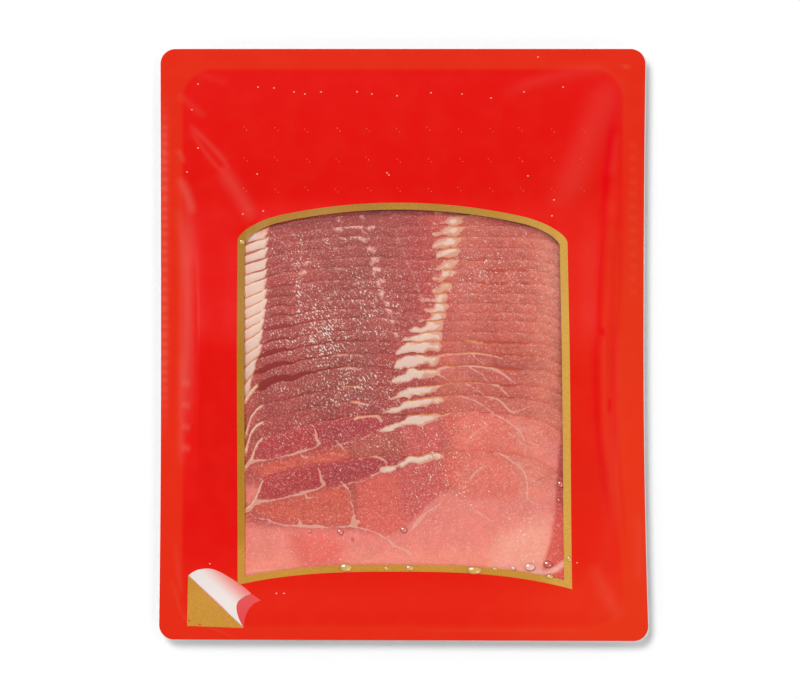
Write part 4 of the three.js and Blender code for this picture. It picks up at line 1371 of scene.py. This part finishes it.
def last_share(index):
    """From 0 on the upper slices to 1 on the last two, which show other muscles."""
    return ease((index - 16.5) / 1.5)


def lean_tone(index, x, below, y):
    """The lean's own colours: bands across the upper slices, and muscles on the last ones."""
    tone = read_table(x, UPPER_PLACES, [paint(*colour) for colour in UPPER_COLOURS])
    later = last_share(index)
    for colour, softness, points in MUSCLES if later > 0 else []:
        depth = depth_inside(x, below, flowing(closed(points), RING_STEPS))
        share = later * ease((depth + softness) / (2 * softness))
        tone = mix(tone, paint(*colour), share[:, None])
    if index == SLICES - 2:
        depth = depth_inside(x, below, flowing(closed(BROWN_PATCH), RING_STEPS))
        tone = mix(tone, paint(184, 90, 78), 0.8 * ease((depth + 2) / 4)[:, None])
    paler = 0.4 * ease((x - 42) / 8) * ease((y + 6) / 26)
    return mix(tone, paint(224, 148, 130), paler[:, None])


def shaded_margin(tone, x, y):
    """In the right margin the film stands off the meat, and its shade widens to the foot."""
    shaded = ease((x - np.interp(-y, SHADE_DOWN, SHADE_X) + 0.8) / 1.6) * ease((-y - 20) / 14)
    shade = mix(paint(184, 68, 64), paint(222, 84, 70), ease((-y - 40) / 25)[:, None])
    return mix(tone, shade, 0.9 * shaded[:, None])


def slice_tone(index, x, below, y):
    """A slice's lean colour at each point, with its unevenness and the next slice's shade."""
    later = last_share(index)
    tone = shaded_margin(lean_tone(index, x, below, y), x, y)
    if index == SLICES - 1:
        for colour, half_width, points in CORNER_MARKS:
            distance, _ = line_distance(x, y, flowing(points))
            tone = mix(tone, paint(*colour), 0.8 * ease(1.4 - distance / half_width)[:, None])
    darker = 0.05 * ease((index - 11) / 4) * ease((-4 - x) / 12) * (1 - later)
    tone = tone * (1 - darker)[:, None] * np.array([1 + 0.06 * later, 1, 1])
    # Deeper red at the left of the later wedges, and rosier meat at their right.
    late = ease((index - 12) / 2) * (1 - later)
    left_of_wedge = late * ease((x + 11) / 3) * ease((1 - x) / 3)
    right_of_wedge = late * ease((x - 9) / 4) * ease((23 - x) / 8)
    tone = tone * (1 - left_of_wedge[:, None] * np.array([0, 0.18, 0.16]))
    tone = tone * (1 + right_of_wedge[:, None] * np.array([0.12, 0.26, 0.14]))
    coarse = 0.09 * soft_noise(x, below + 13 * index, 5, 41)
    fine = 0.07 * soft_noise(x, below + 9 * index, 1.9, 42)
    lump = 1 + (1 - 0.45 * ease(index - 17.5)) * (coarse + fine)
    lump = np.repeat(lump[:, None], 3, axis=1)
    if index < SLICES - 1:
        over_next = np.maximum(y - head_edge(index + 1, x), 0)
        lump *= 1 - NEXT_SHADE * np.exp(-over_next / 0.8)[:, None]
    return np.minimum(tone * lump, 0.95)


def border_shade(x, y):
    """The window border's painted shade and light on the meat: dark red under the arch, warmer at the left.
    """
    under_arch = np.maximum(frame_head(FRAME_INNER, clamp(x, -51.5, 50.5)) - y, 0)
    over_fat = ease((-41 - x) / 5)[:, None]
    # Painted dark red shade under the arch, with painted light close under it where the border's real
    # shadow falls.
    reach = 1.9 + 0.9 * ease((x + 44) / 8) * ease((2 - x) / 12)
    in_shadow = np.exp(-((under_arch / 0.5) ** 2)) * ease((-8 - x) / 15)
    dark = np.array([0.40, 0.60, 0.59]) * np.exp(-((under_arch / reach) ** 2.5))[:, None]
    dark = dark - np.array([1.3, 0.3, 0.3]) * in_shadow[:, None]
    # Over the fat: painted red shade, turning to painted light nearer the left side.
    red = np.array([-0.1, 0.5, 0.62]) * np.exp(-((under_arch / 1.4) ** 2))[:, None]
    lit = np.array([-0.75, -0.5, -0.6]) * np.exp(-((under_arch / 0.9) ** 2))[:, None]
    warm = mix(red, lit, ease((-46.8 - x) / 3)[:, None])
    shade = 1 - mix(dark, warm, over_fat)
    # Painted light close along the left side, where the border's real shadow falls, and a redder tint
    # further in.
    from_left = np.maximum(x - FRAME_INNER["left"], 0)
    shade = shade + np.array([0.4, 0.15, 0.1]) * np.exp(-((from_left / 0.6) ** 2))[:, None]
    shade = shade - np.array([0, 0.13, 0.15]) * np.exp(-((from_left / 1.6) ** 2))[:, None]
    # Painted shade along the right side.
    from_right = np.maximum(FRAME_INNER["right_head"] - x, 0)
    on_right = ease((y + 30) / 20) * np.exp(-((from_right / 0.9) ** 2))
    return shade * (1 - 0.24 * on_right)[:, None]


# Where the painted glints show: centre, half sizes, strength.
GLINT_PLACES = [
    (-34.3, 20, 1.6, 17, 1.0), (-27, 4, 9, 14, 1.0), (-18, -14, 17, 10, 0.8),
    (8, -39, 7, 12, 0.62), (-10, 14, 10, 14, 0.7), (-40, 2, 9, 14, 0.6), (25, 24, 15, 8, 0.65),
    (20, -26, 10, 8, 0.5), (-30, 30, 16, 10, 0.5), (39, -60, 6, 11, 0.45),
    (-28, -29, 20, 9, 0.45), (-8, -32, 12, 6, 0.5), (16, -44, 8, 8, 0.55),
]


def glint_amount(x, y):
    """How strongly the painted glints show at each point, from 0 to 1."""
    wet = np.zeros(x.shape)
    for centre_x, centre_y, half_x, half_y, strength in GLINT_PLACES:
        away = ((x - centre_x) / half_x) ** 2 + ((y - centre_y) / half_y) ** 2
        wet = np.maximum(wet, strength * np.exp(-0.6 * away))
    return wet


def calmness(index, x, below):
    """Where the lean is pale and even: low on the last slices."""
    low = np.maximum(ease((below - 22) / 6), ease((x - 8) / 6) * ease((below - 8) / 8))
    return low * last_share(index)


FINE_X = 54.6  # how far to each side the slices' points lie close together
CUT_UNDER_NEXT = 1.5  # how far a slice's fine points go on under the slice on top of it


def build_slice(index, ham):
    """One slice: close rows of points where it shows, and wide ones where it is hidden."""
    columns = np.concatenate([
        np.arange(SLICE_LEFT, -55, 2.0), np.arange(-54.5, FINE_X, SLICE_STEP),
        np.arange(56.5, SLICE_RIGHT, 2.0), [SLICE_RIGHT],
    ])
    head = head_edge(index, columns)
    foot = np.minimum(foot_edge(index, columns), head - END_HEIGHT)
    length = head - foot
    if index < SLICES - 1:
        in_window = abs(columns) < FINE_X
        shown = (head - head_edge(index + 1, columns))[in_window].max() + CUT_UNDER_NEXT
    else:
        shown = slice_heads[index] - FRAME_INNER["foot"] + 8.0
    fine = np.linspace(0, shown, int(shown / SLICE_STEP) + 1)
    fine = np.concatenate([[0, 0.14], fine[1:]])
    rest = np.linspace(0, 1, 9)[1:, None]
    depths = fine[:, None] * np.minimum(1, 0.8 * length / shown)
    depths = np.vstack([depths, mix(depths[-1], length, rest)])
    y = (head - depths).ravel()
    x = np.tile(columns, len(depths))
    steepness = np.hypot(1, np.gradient(head, columns))
    under_edge = (depths / steepness).ravel()
    below = slice_heads[index] - y

    underside = slice_underside(index, x, y)
    feather = EDGE_DROP * (1 - ease(under_edge / EDGE_REACH))
    grain = 0.03 * soft_noise(x, below + 7 * index, 0.9, 61)
    upper = np.column_stack([x, y, underside + SLICE_BODY - feather + grain])
    lower = np.column_stack([x, y, underside])
    fields = {
        "tone": slice_tone(index, x, below, y),
        "shade": border_shade(x, y),
        "fat": slice_fat(index, x, below, under_edge),
        "vein": line_field(slice_lines(index), x, below),
        "pale": pale_share(index, x, below),
        "dark": dark_band(index, x, under_edge),
        "edge": under_edge,
        "rim": rim_width(index, x),
        # wet: how strongly the painted glints show
        "wet": glint_amount(x, y),
        "calm": calmness(index, x, below),
        "rosy": rosy_share(index, x, below),
    }
    faces = grid_faces(len(depths), len(columns))
    skin = joined_skins(upper, lower, faces, fields)
    piece = make_piece(f"ham_{cad_slice(index)}", skin, ham)
    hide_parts(cad_slice(index))


# ---- Camera, light and floor -----------------------------------------------------------
def build_floor():
    look = Look("paper_white", Roughness=0.9, Specular_IOR_Level=0.0)
    white = look.blend(look.noise(0.9, 2), rgba((0.955, 0.955, 0.955)), rgba((0.975, 0.975, 0.975)))
    look.set(look.shader, {"Base Color": white})
    half = 3.0
    mesh = bpy.data.meshes.new("floor")
    under = -0.05 * MM
    corners = [(-half, -half, under), (half, -half, under), (half, half, under), (-half, half, under)]
    mesh.from_pydata(corners, [], [(0, 1, 2, 3)])
    mesh.materials.append(look.material)
    floor = placed("floor", mesh)


def build_camera():
    """Straight over the pack, with a long lens."""
    sensor, lens, width_seen = 36.0, 200.0, 264.0
    camera = bpy.data.cameras.new("camera")
    camera.sensor_width, camera.lens = sensor, lens
    camera.clip_start, camera.clip_end = 0.05, 20
    holder = placed("camera", camera)
    holder.location = (-1.24 * MM, -1.49 * MM, (FILM_LEVEL + width_seen * lens / sensor) * MM)
    bpy.context.scene.camera = holder


SKY_SIDES, SKY_CAP = 0.62, 0.05


def lamp(name, bearing, height_angle, size, share, distance=6.0):
    """A soft lamp aimed at the pack. share is how much of the level light it gives."""
    turn, rise = math.radians(bearing), math.radians(height_angle)
    light = bpy.data.lights.new(name, "AREA")
    light.shape = "DISK"
    light.size = size
    light.energy = share * math.pi**2 * distance**2 / math.sin(rise)
    holder = placed(name, light)
    direction = np.array([
        math.cos(rise) * math.sin(turn), math.cos(rise) * math.cos(turn), math.sin(rise)
    ])
    holder.location = direction * distance
    holder.rotation_euler = (math.pi / 2 - rise, 0, math.pi - turn)
    holder.visible_camera = False


def build_light():
    # Bearings run clockwise from the pack's head.
    lamp("key", -33, 57, 2.6, 0.50)
    lamp("left", -85, 62, 1.4, 0.04)
    lamp("right", 80, 60, 1.4, 0.04)
    lamp("foot", 150, 45, 0.8, 0.02)
    bpy.context.scene.view_settings.view_transform = "Standard"


def build_sky():
    """Even light from all round, with a dark patch overhead so that level gloss stays clear."""
    world = bpy.data.worlds.new("studio")
    world.use_nodes = True
    nodes, links = world.node_tree.nodes, world.node_tree.links
    direction = nodes.new("ShaderNodeTexCoord").outputs["Generated"]
    split = nodes.new("ShaderNodeSeparateXYZ")
    links.new(direction, split.inputs[0])
    cap = nodes.new("ShaderNodeMapRange")
    cap.interpolation_type = "SMOOTHSTEP"
    links.new(split.outputs["Z"], cap.inputs[0])
    for place, value in ((1, 0.82), (2, 0.96), (3, SKY_SIDES), (4, SKY_CAP)):
        cap.inputs[place].default_value = value
    background = nodes["Background"]
    background.inputs["Color"].default_value = (1, 1, 1, 1)
    links.new(cap.outputs[0], background.inputs["Strength"])
    bpy.context.scene.world = world


def build_pack():
    film, gold, ink, clear = film_look(), gold_look(), ink_look(), window_look()
    build_tray(tray_look())
    ham = ham_look()
    for index in range(SLICES):
        build_slice(index, ham)
    build_film(film, clear)
    build_frame(gold)
    build_peel_mark(gold, ink)
    build_specks(drop_look())


build_camera()
build_floor()
build_light()
build_sky()
build_pack()
